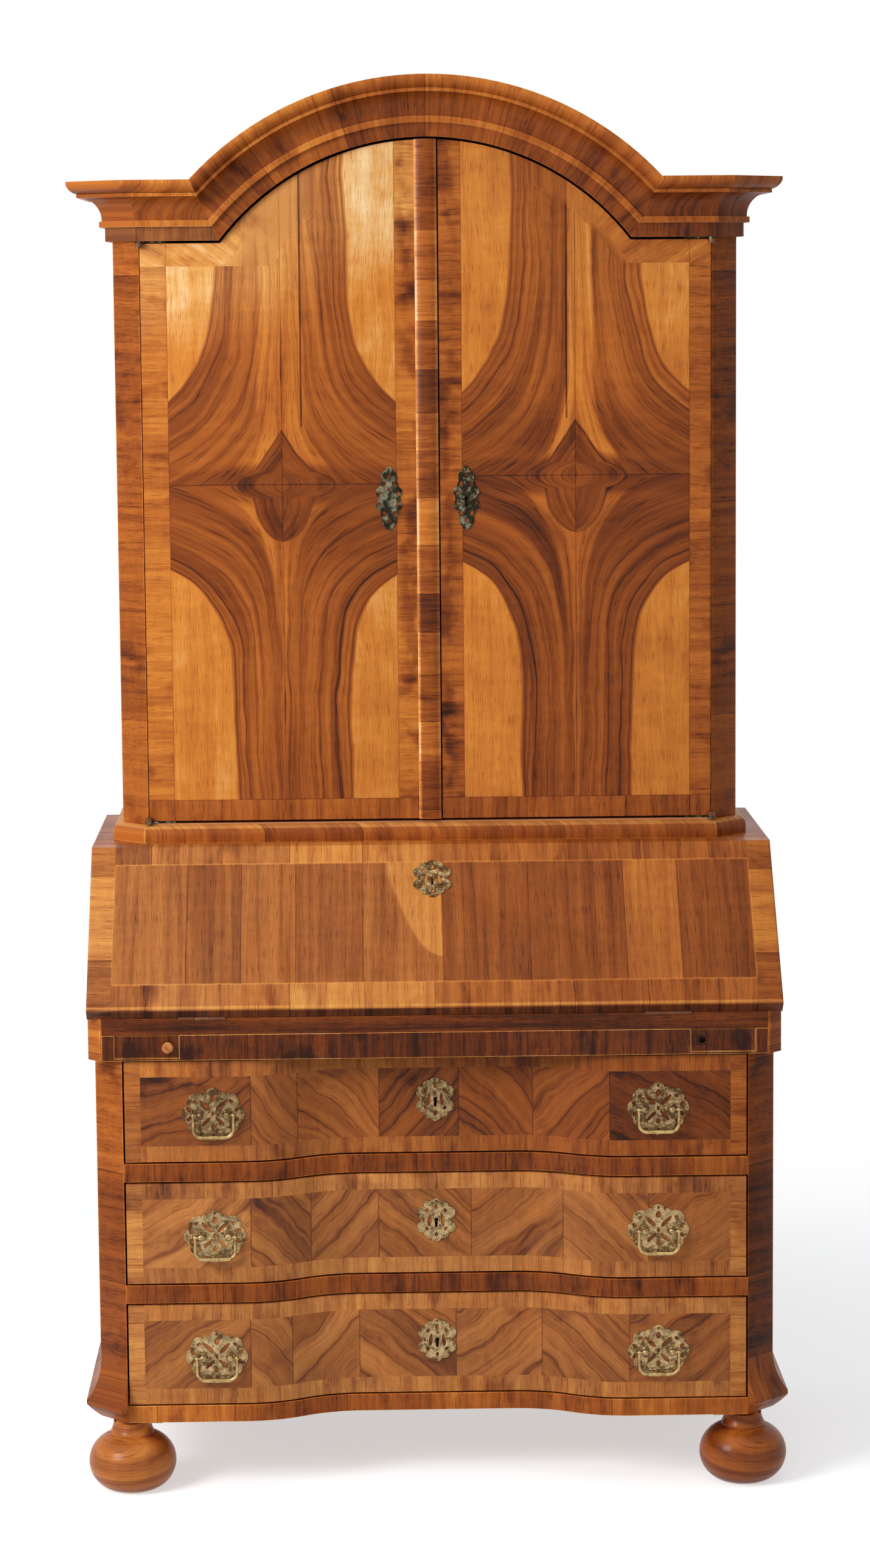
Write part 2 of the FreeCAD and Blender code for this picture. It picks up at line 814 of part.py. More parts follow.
def make_fall():
    corners = [Vector(-desk_half, p.y, p.z) for p in fall_section()]
    panel = slab(corners, Vector(2 * desk_half, 0, 0))
    face_height = (hinge_point + outward * fall_thickness).dot(outward)
    edges = []
    for edge in panel.Edges:
        if all(abs(vertex.Point.dot(outward) - face_height) < same_plane for vertex in edge.Vertexes):
            edges.append(edge)
    panel = panel.makeFillet(fall_thumbnail, edges)
    x0 = fall_hinge_spread - fall_hinge_length / 2
    room = rod(fall_knuckle_radius + fall_gap, Vector(x0, desk_front, writing_level), Vector(1, 0, 0),
               fall_hinge_length)
    recess = room.fuse(fall_leaf(0, x0, x0 + fall_hinge_length, overcut))
    panel = panel.cut(recess).cut(mirrored(recess))

    outer_end = fall_section()[2]
    key_point = outer_end - along * fall_lock_drop
    key_cut = keyhole(key_point, -outward, along, 3 * fall_thickness)
    lock_low = key_point - outward * fall_thickness - along * lock_height / 2
    lock_corners = [lock_low, lock_low + along * lock_height]
    lock_corners += [corner + outward * lock_depth for corner in reversed(lock_corners)]
    lock = slab([Vector(-lock_width / 2, p.y, p.z) for p in lock_corners], Vector(lock_width, 0, 0))
    save("fall_panel", [panel.cut(key_cut).cut(lock)])

    plate = key_plate().cut(keyhole(Vector(0, 0, 0), Vector(0, 1, 0), Vector(0, 0, 1), front_thickness))
    plate.rotate(Vector(0, 0, 0), Vector(1, 0, 0), fall_slope - 90)
    fixed, swinging = fall_hinge()
    save("fall_brasses", [moved(plate, 0, key_point.y, key_point.z), lock] + pair(swinging))
    save("writing_board_hinges", pair(fixed))


def arched_valance(x0, x1, y, top):
    low = top - valance_height
    corner = Vector(x0, y, top)
    edges = [
        line(corner, Vector(x1, y, top)),
        line(Vector(x1, y, top), Vector(x1, y, low)),
        arc(Vector(x1, y, low), Vector((x0 + x1) / 2, y, top - valance_crown), Vector(x0, y, low)),
        line(Vector(x0, y, low), corner),
    ]
    return prism(edges, Vector(0, valance_thickness, 0))


def make_pigeonholes():
    front = back_face - pigeonhole_depth
    shelf_low = writing_level + small_drawer_opening
    shelf_top = shelf_low + pigeonhole_board
    solids = [box(-desk_inner, desk_inner, front, back_face, shelf_low, shelf_top)]
    valances = []
    half = pigeonhole_board / 2
    pitch = 2 * desk_inner / pigeonhole_count
    for number in range(pigeonhole_count):
        left = -desk_inner + number * pitch
        x0 = left + (half if number > 0 else 0)
        x1 = left + pitch - (half if number < pigeonhole_count - 1 else 0)
        valances.append(arched_valance(x0, x1, front + valance_thickness, desk_top_under))
        if number > 0:
            solids.append(box(left - half, left + half, front, back_face, shelf_top, desk_top_under))
    bay = 2 * desk_inner / small_drawer_count
    for number in range(1, small_drawer_count):
        x = -desk_inner + number * bay
        solids.append(box(x - half, x + half, front, back_face, writing_level, shelf_low))
    save("pigeonholes", solids + valances)
    for number in range(small_drawer_count):
        left = -desk_inner + number * bay
        x0 = left + (half if number > 0 else 0) + side_gap
        x1 = left + bay - (half if number < small_drawer_count - 1 else 0) - side_gap
        make_small_drawer("small_drawer_%d" % (number + 1), x0, x1, front, shelf_low)


def make_small_drawer(name, x0, x1, front, ceiling):
    low = writing_level + run_gap
    high = ceiling - side_gap
    inner = front + small_front
    rear = back_face - side_gap
    panel = box(x0, x1, front, inner, low, high)
    in0 = x0 + small_board
    in1 = x1 - small_board
    sides = [box(x0, in0, inner, rear, low, high), box(in1, x1, inner, rear, low, high)]
    end = box(in0, in1, rear - small_board, rear, low, high)
    bottom = box(in0, in1, inner, rear - small_board, low, low + small_bottom)
    centre = Vector((x0 + x1) / 2, front - small_knob_radius, (low + high) / 2)
    stem = rod(small_knob_stem, centre, Vector(0, 1, 0), small_knob_radius)
    knob = Part.makeSphere(small_knob_radius, centre - Vector(0, small_knob_stem, 0)).fuse(stem)
    save(name, [panel, end, bottom, knob.removeSplitter()] + sides)


def make_cabinet():
    rear_of_front = cabinet_front + door_thickness
    rear_of_post = cabinet_front + cabinet_post_depth
    side_top = head_level + cornice_height - cabinet_side_drop
    side = box(cabinet_inner, cabinet_half, rear_of_post, back, desk_level, side_top)
    save("cabinet_side_right", [side])
    save("cabinet_side_left", [mirrored(side)])
    post = canted_post(door_opening_half, cabinet_half, cabinet_front, cabinet_post_depth,
                       desk_level, head_level + roof_rise)
    save("cabinet_posts", pair(post))
    low = cabinet_floor - cabinet_bottom_board
    sill_half = door_opening_half
    floor_front = box(-sill_half, sill_half, cabinet_front, rear_of_post, low, cabinet_floor)
    floor_rear = box(-cabinet_inner, cabinet_inner, rear_of_post, back_face, low, cabinet_floor)
    save("cabinet_bottom", [floor_front.fuse(floor_rear).removeSplitter()])
    save("cabinet_back", [head_panel(desk_level, roof_rise, cabinet_inner, back_face, back)])

    roof_high = roof_rise + roof_thickness
    roof = head_panel(desk_level, roof_high, cabinet_inner, rear_of_front, back)
    room_front = rear_of_front - overcut
    room = head_panel(desk_level - overcut, roof_rise, cabinet_inner, room_front, back + overcut)
    save("cabinet_roof", [roof.cut(room)])

    pediment_height = cornice_height - pediment_drop
    pediment = head_panel(head_level - overcut, pediment_height, sill_half, cabinet_front, rear_of_front)
    opening_front = cabinet_front - overcut
    opening_back = rear_of_front + overcut
    opening = head_panel(desk_level, 0, cabinet_half + overcut, opening_front, opening_back)
    block = canted_post(door_opening_half, cabinet_half, cabinet_front, cabinet_post_depth,
                        head_level + roof_high, side_top)
    save("pediment_board", [pediment.cut(opening)] + pair(block))

    shelf_front = rear_of_post + shelf_set_back
    shelves = []
    bearers = []
    for number in range(shelf_count):
        level = cabinet_floor + opening_height * (number + 1) / (shelf_count + 1)
        top = level + shelf_thickness
        shelves.append(box(-cabinet_inner, cabinet_inner, shelf_front, back_face, level, top))
        edge = cabinet_inner - bearer_width
        bearer = box(edge, cabinet_inner, shelf_front, back_face, level - bearer_height, level)
        bearers += pair(bearer)
    save("cabinet_shelves", shelves + bearers)

    top = desk_level + base_moulding_height
    reach = base_moulding_reach
    nosing = desk_level + base_nosing
    profile = [
        ((0, desk_level),),
        ((reach, desk_level),),
        ((reach, nosing),),
        ((base_round_reach, top - base_round_drop), (base_top_reach, top)),
        ((0, top),),
    ]
    save("cabinet_base_moulding", [mitred_band(profile, cabinet_half, cabinet_front, cabinet_post)])


def cornice_profile():
    fillet_top = fascia_height + fillet_height
    cove_top = fillet_top + cove_height
    cove_foot = fillet_reach - cove_set_back
    cove_deep = cove_reach - cove_foot
    turn = math.sqrt(0.5)
    cove = (cove_reach - cove_deep * turn, fillet_top + cove_height * turn)
    lip_reach = cove_reach + lip_step
    lip_top = cove_top + lip_height
    crown_foot = lip_reach - quirk
    crown_top = lip_top + crown_height
    crown = ((crown_foot + cornice_reach) / 2 + crown_swell, (lip_top + crown_top) / 2 - crown_swell)
    return [
        ((0, 0),),
        ((fascia_reach, 0),),
        ((fascia_reach, fascia_height),),
        ((fillet_reach, fascia_height),),
        ((fillet_reach, fillet_top),),
        ((cove_foot, fillet_top),),
        (cove, (cove_reach, cove_top)),
        ((lip_reach, cove_top),),
        ((lip_reach, lip_top),),
        ((crown_foot, lip_top),),
        (crown, (cornice_reach, crown_top)),
        ((cornice_reach, cornice_height),),
        ((0, cornice_height),),
    ]


def raised(profile, level):
    return [tuple((p, h + level) for p, h in stretch) for stretch in profile]


def arch_wedge():
    inner = head_points(0)
    outer = head_points(cornice_height)
    lean = (outer[2] - inner[2]) / cornice_height
    low = head_level - arch_radius / 2
    high = arch_level + outer[0] + overcut
    low_half = inner[2] - lean * (head_level - low)
    high_half = inner[2] + lean * (high - head_level)
    y = cabinet_front - cornice_reach - overcut
    corners = [
        Vector(-low_half, y, low),
        Vector(low_half, y, low),
        Vector(high_half, y, high),
        Vector(-high_half, y, high),
    ]
    return slab(corners, Vector(0, back - y + overcut, 0))


def make_cornice():
    profile = cornice_profile()
    wedge = arch_wedge()
    band = mitred_band(raised(profile, head_level), cabinet_half, cabinet_front, cabinet_post)
    runs = band.cut(wedge)
    right = [solid for solid in runs.Solids if solid.CenterOfMass.x > 0]
    save("cornice_runs", right + [mirrored(solid) for solid in right])

    edges = profile_edges(profile, lambda p, h: Vector(0, cabinet_front - p, arch_level + arch_radius + h))
    foot = Vector(0, cabinet_front, arch_level + arch_radius)
    edges.append(line(foot, foot + Vector(0, 0, cornice_height)))
    face = Part.Face(Part.Wire(Part.__sortEdges__(edges)))
    half_turn = math.degrees(math.asin(arch_half_chord / arch_radius)) + arch_overrun
    axis_point = Vector(0, cabinet_front, arch_level)
    face.rotate(axis_point, Vector(0, 1, 0), -half_turn)
    arch = face.revolve(axis_point, Vector(0, 1, 0), 2 * half_turn)
    save("cornice_arch", [arch.common(wedge)])


# One pivot hinge of the right-hand door: a plate with an eye on the case, another let into the door
def door_hinge(case_level, door_level, up):
    axis = Vector(0, 0, up)
    eye = Vector(door_hinge_x, door_hinge_y, case_level)
    inner = door_half - hinge_plate_length
    reach = cabinet_front + door_thickness / 2 - hinge_plate_width / 2
    step = abs(door_level - case_level)

    def plate(level):
        low = min(level, level + up * hinge_plate)
        high = max(level, level + up * hinge_plate)
        tongue = box(inner, door_half, reach, reach + hinge_plate_width, low, high)
        eye_side = door_hinge_x - hinge_eye_radius
        neck = box(eye_side, door_half, door_hinge_y, reach + hinge_plate_width, low, high)
        return tongue.fuse(neck)

    case_eye = rod(hinge_eye_radius, eye, axis, step - hinge_run_gap)
    door_start = eye + axis * step
    door_eye = rod(hinge_eye_radius, door_start, axis, hinge_eye_length)
    pin = rod(hinge_pin_radius, eye, axis, step + hinge_eye_length)
    bore = rod(hinge_pin_radius + pin_clearance, eye, axis, step + hinge_eye_length + overcut)
    case_plate = plate(case_level).fuse(case_eye).fuse(pin)
    let_in = plate(door_level)
    door_side = let_in.fuse(door_eye).cut(bore)
    return case_plate.removeSplitter(), door_side.removeSplitter(), let_in


def make_doors():
    rear = cabinet_front + door_thickness
    both_doors = head_panel(door_bottom, -door_end_gap, door_half, cabinet_front, rear)
    low = door_hinge(cabinet_floor, door_bottom, 1)
    high = door_hinge(head_level, head_level - door_end_gap, -1)
    tall = arch_level + arch_radius
    right_edge = meeting_line + meeting_gap
    near = cabinet_front - overcut
    far = rear + overcut
    right_room = box(right_edge, door_half + overcut, near, far, door_bottom, tall)
    left_room = box(-door_half - overcut, meeting_line, near, far, door_bottom, tall)
    right = both_doors.common(right_room).cut(low[2]).cut(high[2])
    left = both_doors.common(left_room).cut(mirrored(low[2])).cut(mirrored(high[2]))
    plate_level = cabinet_floor + door_plate_rise
    facing = Vector(0, 1, 0)
    key_point = Vector(door_plate_spread, cabinet_front, plate_level)
    key_cut = keyhole(key_point, facing, Vector(0, 0, 1), 3 * door_thickness)
    save("door_right", [right.cut(key_cut)])
    save("door_left", [left])
    save("case_pivots", pair(low[0]) + pair(high[0]))

    plate = moved(door_plate(), door_plate_spread, cabinet_front, plate_level)
    plates = [plate.cut(key_cut), mirrored(plate)]
    lock_left = door_plate_spread - door_lock_width / 2
    lock_low = plate_level - lock_height / 2
    lock_right = lock_left + door_lock_width
    lock_top = lock_low + lock_height
    lock = box(lock_left, lock_right, rear, rear + lock_depth, lock_low, lock_top)
    save("door_right_brasses", [plates[0], low[1], high[1], lock])
    save("door_left_brasses", [plates[1], mirrored(low[1]), mirrored(high[1])])

    face = cabinet_front
    crown = face - astragal_depth
    edge = face - astragal_edge
    z = door_bottom
    half = astragal_width / 2
    edges = [
        line(Vector(-half, face, z), Vector(-half, edge, z)),
        arc(Vector(-half, edge, z), Vector(0, crown, z), Vector(half, edge, z)),
        line(Vector(half, edge, z), Vector(half, face, z)),
        line(Vector(half, face, z), Vector(-half, face, z)),
    ]
    strip = prism(edges, Vector(0, 0, tall - z))
    under_head = head_panel(door_bottom, -door_end_gap, door_half, crown - overcut, face + overcut)
    save("astragal", [strip.common(under_head)])


def main():
    os.makedirs("parts", exist_ok=True)
    make_feet()
    make_base()
    make_commode()
    for number in range(drawer_count):
        make_drawer(number)
    make_desk()
    make_lopers()
    make_fall()
    make_pigeonholes()
    make_cabinet()
    make_cornice()
    make_doors()


main()
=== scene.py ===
import bpy
import bmesh
import json
import math
from mathutils import Matrix, Vector


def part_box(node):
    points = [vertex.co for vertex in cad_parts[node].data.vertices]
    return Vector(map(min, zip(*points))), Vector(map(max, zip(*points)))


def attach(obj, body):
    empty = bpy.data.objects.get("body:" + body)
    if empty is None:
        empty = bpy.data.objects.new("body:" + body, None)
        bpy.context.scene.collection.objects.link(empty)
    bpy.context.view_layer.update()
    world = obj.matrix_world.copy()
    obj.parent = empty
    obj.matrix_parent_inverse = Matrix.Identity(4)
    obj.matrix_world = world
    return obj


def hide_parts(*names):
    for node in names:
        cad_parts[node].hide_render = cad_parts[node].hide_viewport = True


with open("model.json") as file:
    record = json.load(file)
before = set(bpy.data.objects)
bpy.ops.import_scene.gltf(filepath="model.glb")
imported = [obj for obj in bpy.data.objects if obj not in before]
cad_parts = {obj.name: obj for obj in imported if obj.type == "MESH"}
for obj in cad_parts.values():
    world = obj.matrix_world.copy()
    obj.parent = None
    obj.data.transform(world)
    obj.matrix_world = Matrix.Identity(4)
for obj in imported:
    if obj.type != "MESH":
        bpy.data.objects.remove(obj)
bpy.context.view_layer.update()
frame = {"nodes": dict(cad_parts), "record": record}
nodes = frame["nodes"]
bodyOf = {node: body for body, members in frame["record"]["behaviour"]["bodies"].items() for node in members}
print("frame loaded:", len(nodes), "nodes")

camera = {"place": (-0.1208, -6.1708, 1.8771), "pitch": 7.334, "yaw": -1.2003, "roll": -0.4909,
          "lens": 89.12, "sensor": 36.0, "clipEnd": 60.0}
studio = {"floor": (-14, -9, 14, 14), "floorTone": (0.84, 0.885, 0.905), "floorLift": 0.54,
          "floorFade": (0.9, 2.4), "worldStrength": 0.30, "aim": (0, -0.1, 1.15),
          "key": {"place": (-2.8, -2.6, 2.6), "size": (1.6, 1.6), "power": 110.0},
          "fill": {"place": (1.6, -5.2, 1.2), "size": (2.2, 2.2), "power": 8.0},
          "top": {"place": (-0.6, -1.4, 4.8), "size": (4.6, 3.4), "power": 34.0}}


def linkObject(name, data):
    piece = bpy.data.objects.new(name, data)
    bpy.context.scene.collection.objects.link(piece)
    return piece


def placeCamera(values):
    yaw, pitch, roll = (math.radians(values[key]) for key in ("yaw", "pitch", "roll"))
    right = Vector((math.cos(yaw), math.sin(yaw), 0))
    ahead = Vector((-math.sin(yaw) * math.cos(pitch), math.cos(yaw) * math.cos(pitch), -math.sin(pitch)))
    above = right.cross(ahead)
    turnedRight = right * math.cos(roll) + above * math.sin(roll)
    turnedUp = above * math.cos(roll) - right * math.sin(roll)
    matrix = Matrix((turnedRight, turnedUp, -ahead)).transposed().to_4x4()
    matrix.translation = Vector(values["place"])
    data = bpy.data.cameras.new("camera")
    data.lens = values["lens"]
    data.sensor_width = values["sensor"]
    data.clip_end = values["clipEnd"]
    viewer = linkObject("camera", data)
    viewer.matrix_world = matrix
    bpy.context.scene.camera = viewer


def addLamp(name, values):
    data = bpy.data.lights.new(name, "AREA")
    data.shape = "RECTANGLE"
    data.size, data.size_y = values["size"]
    data.energy = values["power"]
    lamp = linkObject(name, data)
    lamp.location = values["place"]
    aim = Vector(studio["aim"]) - Vector(values["place"])
    lamp.rotation_euler = aim.to_track_quat("-Z", "Y").to_euler()


def arithmetic(operation, swapped=False):
    def method(self, other=0.0):
        return self.sheet.calc(operation, *((other, self) if swapped else (self, other)))
    return method


# a node's output that takes part in plain arithmetic
class Wire:
    def __init__(self, sheet, socket):
        self.sheet = sheet
        self.socket = socket

    __add__ = __radd__ = arithmetic("ADD")
    __sub__, __rsub__ = arithmetic("SUBTRACT"), arithmetic("SUBTRACT", True)
    __mul__ = __rmul__ = arithmetic("MULTIPLY")
    __truediv__ = arithmetic("DIVIDE")
    __gt__, __lt__ = arithmetic("GREATER_THAN"), arithmetic("GREATER_THAN", True)
    __abs__ = arithmetic("ABSOLUTE")


# builds node trees; wires and plain numbers can be mixed freely
class Sheet:
    def __init__(self, tree):
        self.tree = tree

    def node(self, kind, settings=None, inputs=None):
        made = self.tree.nodes.new(kind)
        for key, value in (settings or {}).items():
            setattr(made, key, value)
        for key, value in (inputs or {}).items():
            if isinstance(value, Wire):
                value = value.socket
            if isinstance(value, bpy.types.NodeSocket):
                self.tree.links.new(value, made.inputs[key])
            else:
                made.inputs[key].default_value = value
        return made

    def wire(self, made, key=0):
        return Wire(self, made.outputs[key])

    def calc(self, operation, a, b=0.0, clamp=False):
        made = self.node("ShaderNodeMath", {"operation": operation, "use_clamp": clamp}, {0: a, 1: b})
        return self.wire(made)

    def most(self, value, *others):
        for other in others:
            value = self.calc("MAXIMUM", value, other)
        return value

    def least(self, a, b):
        return self.calc("MINIMUM", a, b)

    # length of the diagonal of a and b
    def span(self, a, b):
        return self.calc("SQRT", a * a + b * b)

    def fade(self, value, low, high, start=0.0, end=1.0):
        return self.wire(self.node("ShaderNodeMapRange", {"interpolation_type": "SMOOTHSTEP"}, {
            "Value": value, "From Min": low, "From Max": high, "To Min": start, "To Max": end}))

    # 0 below, 1 above zero, with a soft step between
    def edge(self, value, soft):
        return self.fade(value, -soft, soft)

    # rest, and a growth on top that dies away as the value rises
    def flare(self, value, rest, grow, start, reach):
        return rest + grow * self.calc("EXPONENT", (start - value) / reach)

    # a where the factor is 0, b where it is 1
    def choose(self, factor, a, b):
        return self.wire(self.node("ShaderNodeMix", {"data_type": "FLOAT"}, {0: factor, 2: a, 3: b}))

    def tint(self, factor, a, b, way="MIX"):
        made = self.node("ShaderNodeMix", {"data_type": "RGBA", "blend_type": way}, {0: factor, 6: a, 7: b})
        return self.wire(made, 2)

    def vector(self, x, y, z=0.0):
        return self.wire(self.node("ShaderNodeCombineXYZ", inputs={0: x, 1: y, 2: z}))

    def noise(self, vector, scale, detail=2.0, rough=0.5):
        return self.wire(self.node("ShaderNodeTexNoise", inputs={
            "Vector": vector, "Scale": scale, "Detail": detail, "Roughness": rough}), "Fac")

    def ridges(self, field, power):
        return self.calc("POWER", 1.0 - abs(field * 2.0 - 1.0), power)

    def chance(self, a, b):
        made = self.node("ShaderNodeTexWhiteNoise", {"noise_dimensions": "2D"}, {"Vector": self.vector(a, b)})
        return self.wire(made, "Value")

    def ramp(self, factor, stops):
        made = self.node("ShaderNodeValToRGB", inputs={"Fac": factor})
        strip = made.color_ramp
        while len(strip.elements) < len(stops):
            strip.elements.new(0.5)
        for element, (place, colour) in zip(strip.elements, stops):
            element.position = place
            element.color = colour
        return self.wire(made, "Color")

    def spot(self):
        return self.wire(self.node("ShaderNodeTexCoord"), "Object")

    def place(self):
        split = self.node("ShaderNodeSeparateXYZ", inputs={0: self.spot()})
        return [self.wire(split, axis) for axis in range(3)]

    # 1 on the eased edges of a timber piece
    def wear(self):
        return self.wire(self.node("ShaderNodeAttribute", {"attribute_name": "wear"}), "Fac")

    # 1 on a soft-edged line where the value is 0
    def line(self, value, width, core=0.4):
        return 1.0 - self.fade(abs(value), width * core, width)


def newSheet(holder):
    holder.use_nodes = True
    holder.node_tree.nodes.clear()
    return Sheet(holder.node_tree)


def srgb(red, green, blue):
    def plain(value):
        value /= 255.0
        return value / 12.92 if value <= 0.04045 else ((value + 0.055) / 1.055) ** 2.4
    return (plain(red), plain(green), plain(blue), 1.0)


# timber tones: 0 is pale sapwood, 1 the darkest heartwood
walnutTones = [(0.0, srgb(242, 182, 108)), (0.2, srgb(219, 136, 53)), (0.4, srgb(188, 104, 40)),
               (0.6, srgb(152, 77, 28)), (0.8, srgb(112, 52, 20)), (1.0, srgb(52, 23, 11))]
pineTones = [(0.0, srgb(226, 174, 122)), (0.35, srgb(202, 140, 92)), (0.65, srgb(164, 104, 66)),
             (1.0, srgb(88, 52, 34))]
# layers of grain: stretch along it, seed, scale, detail and roughness of the noise
grain = {"drift": (0.35, 0.0, 7.0, 3.0, 0.55), "bands": (0.05, 3.1, 62.0, 4.0, 0.62),
         "veins": (0.03, 17.7, 46.0, 1.5, 0.5), "fibres": (0.018, 9.7, 520.0, 3.0, 0.6),
         "flecks": (0.045, 21.3, 900.0, 1.0, 0.5),
         "ripple": (1.0, 8.3, 110.0, 2.0, 0.55), "cloud": (1.0, 5.5, 6.0, 3.0, 0.6),
         "bend": 0.014, "bandCut": (0.2, 0.8), "veinPower": 10.0, "fleckCut": (0.58, 0.68), "rippleRun": 0.3,
         "hazeSpread": (0.25, 0.75, 0.6, 1.4), "rough": (0.30, 0.48), "roughWorn": 0.10,
         "relief": {"fibres": 0.4, "flecks": 0.6, "line": 1.2, "cloud": 1.5},
         "depth": {"veins": 0.60, "fibres": 0.20, "ripple": 0.12, "cloud": 0.30, "line": 0.45, "wear": 0.52}}
timberFeeds = {"Across": 0.0, "Along": 0.0, "Seed": 0.0, "Tone": 0.5, "Streak": 0.3, "Line": 0.0, "Wear": 0.0,
               "Haze": 0.0}


def timberGroup(name, tones, poreDepth, sheenGain):
    group = bpy.data.node_groups.new(name, "ShaderNodeTree")
    for label, value in timberFeeds.items():
        socket = group.interface.new_socket(name=label, in_out="INPUT", socket_type="NodeSocketFloat")
        socket.default_value = value
    for label, kind in (("Color", "Color"), ("Roughness", "Float"), ("Height", "Float")):
        group.interface.new_socket(name=label, in_out="OUTPUT", socket_type="NodeSocket" + kind)
    sheet = Sheet(group)
    entry = sheet.node("NodeGroupInput")
    across, along, seed, tone, streak, line, wear, haze = (sheet.wire(entry, label) for label in timberFeeds)

    def layer(label, run):
        stretch, shift, scale, detail, rough = grain[label]
        return sheet.noise(sheet.vector(run, along * stretch, seed + shift), scale, detail, rough)

    depth, relief = grain["depth"], grain["relief"]
    bent = across + (layer("drift", across) - 0.5) * grain["bend"]
    bands = sheet.fade(layer("bands", bent), *grain["bandCut"])
    veins = sheet.ridges(layer("veins", bent), grain["veinPower"])
    fibres = layer("fibres", bent)
    flecks = sheet.fade(layer("flecks", bent), *grain["fleckCut"])
    ripple = layer("ripple", across * grain["rippleRun"])
    cloud = layer("cloud", across)
    tone += (bands - 0.5) * streak + veins * streak * depth["veins"]
    tone += (fibres - 0.5) * depth["fibres"] + (ripple - 0.5) * depth["ripple"]
    tone += (cloud - 0.5) * depth["cloud"]
    tone += flecks * poreDepth + line * depth["line"] - wear * cloud * depth["wear"]
    colour = sheet.ramp(tone, tones)
    # the colour lifted towards a pale pink, mixed in by the haze feed: partly old polish bloom, partly
    # painted sheen and painted highlights
    sheenColour = sheet.tint(1.0, colour, sheenGain, "MULTIPLY")
    dips = flecks * relief["flecks"] + line * relief["line"]
    sheet.node("NodeGroupOutput", inputs={
        "Color": sheet.tint(haze * sheet.fade(cloud, *grain["hazeSpread"]), colour, sheenColour),
        "Roughness": sheet.choose(cloud, *grain["rough"]) + (flecks + wear) * grain["roughWorn"],
        "Height": fibres * relief["fibres"] - dips + cloud * relief["cloud"]})
    return group


walnut = timberGroup("walnutFigure", walnutTones, poreDepth=0.17, sheenGain=(1.16, 1.60, 2.75, 1.0))
pine = timberGroup("pineFigure", pineTones, poreDepth=0.03, sheenGain=(1.0, 1.05, 1.15, 1.0))

polish = {"coat": 0.05, "coatRough": 0.18, "specular": 0.11, "relief": 0.0005, "bump": 0.35}


def woodMaterial(name, build, *given, group, coat):
    material = bpy.data.materials.new(name)
    sheet = newSheet(material)
    feeds = build(sheet, *sheet.place(), *given)
    feeds["Wear"] = sheet.wear()
    figure = sheet.node("ShaderNodeGroup", {"node_tree": group}, feeds)
    bump = sheet.node("ShaderNodeBump", inputs={
        "Strength": polish["bump"], "Distance": polish["relief"], "Height": figure.outputs["Height"]})
    shader = sheet.node("ShaderNodeBsdfPrincipled", inputs={
        "Base Color": figure.outputs["Color"], "Roughness": figure.outputs["Roughness"],
        "Normal": bump.outputs["Normal"], "Specular IOR Level": polish["specular"],
        "Coat Weight": coat, "Coat Roughness": polish["coatRough"]})
    sheet.node("ShaderNodeOutputMaterial", inputs={"Surface": shader.outputs[0]})
    return material


# what a timber group is fed: the way across and along the grain, and the look there
def leaf(across, along, seed, tone, streak=0.26, line=0.0):
    return {"Across": across, "Along": along, "Seed": seed, "Tone": tone, "Streak": streak, "Line": line}


def blendFeeds(sheet, mask, inner, outer):
    return {key: sheet.choose(mask, inner[key], outer[key]) for key in inner}


crossBand = {"wander": 0.9, "joint": 0.0012, "stain": (0.52, 0.74), "streak": 0.20, "seedSpread": 40.0,
             "mitre": 1.01, "wanderScale": 6.0, "stainNoise": (19.0, 3.0, 0.6)}


# short cross-grain pieces laid end to end; run is the way along the edge
def crossPieces(sheet, run, cross, pieceLength, seed, tone, spread, mark=0.5, blot=0.22):
    wander = sheet.noise(sheet.vector(run, seed), crossBand["wanderScale"]) - 0.5
    place = run / pieceLength + wander * crossBand["wander"]
    number = sheet.calc("FLOOR", place)
    inside = place - number
    joint = 1.0 - sheet.fade(sheet.least(inside, 1.0 - inside), 0.0, crossBand["joint"] / pieceLength)
    lot = sheet.chance(number, seed)
    stain = sheet.noise(sheet.vector(run, cross * 0.5, seed + 2.2), *crossBand["stainNoise"])
    value = tone + (lot - 0.5) * spread + sheet.fade(stain, *crossBand["stain"]) * blot
    return leaf(run, cross, lot * crossBand["seedSpread"] + seed, value, crossBand["streak"], joint * mark)


# the same round a piece that turns a corner
def crossGrain(sheet, x, y, z, pieceLength, seed, tone, spread):
    return crossPieces(sheet, x + y * crossBand["mitre"], z, pieceLength, seed, tone, spread)


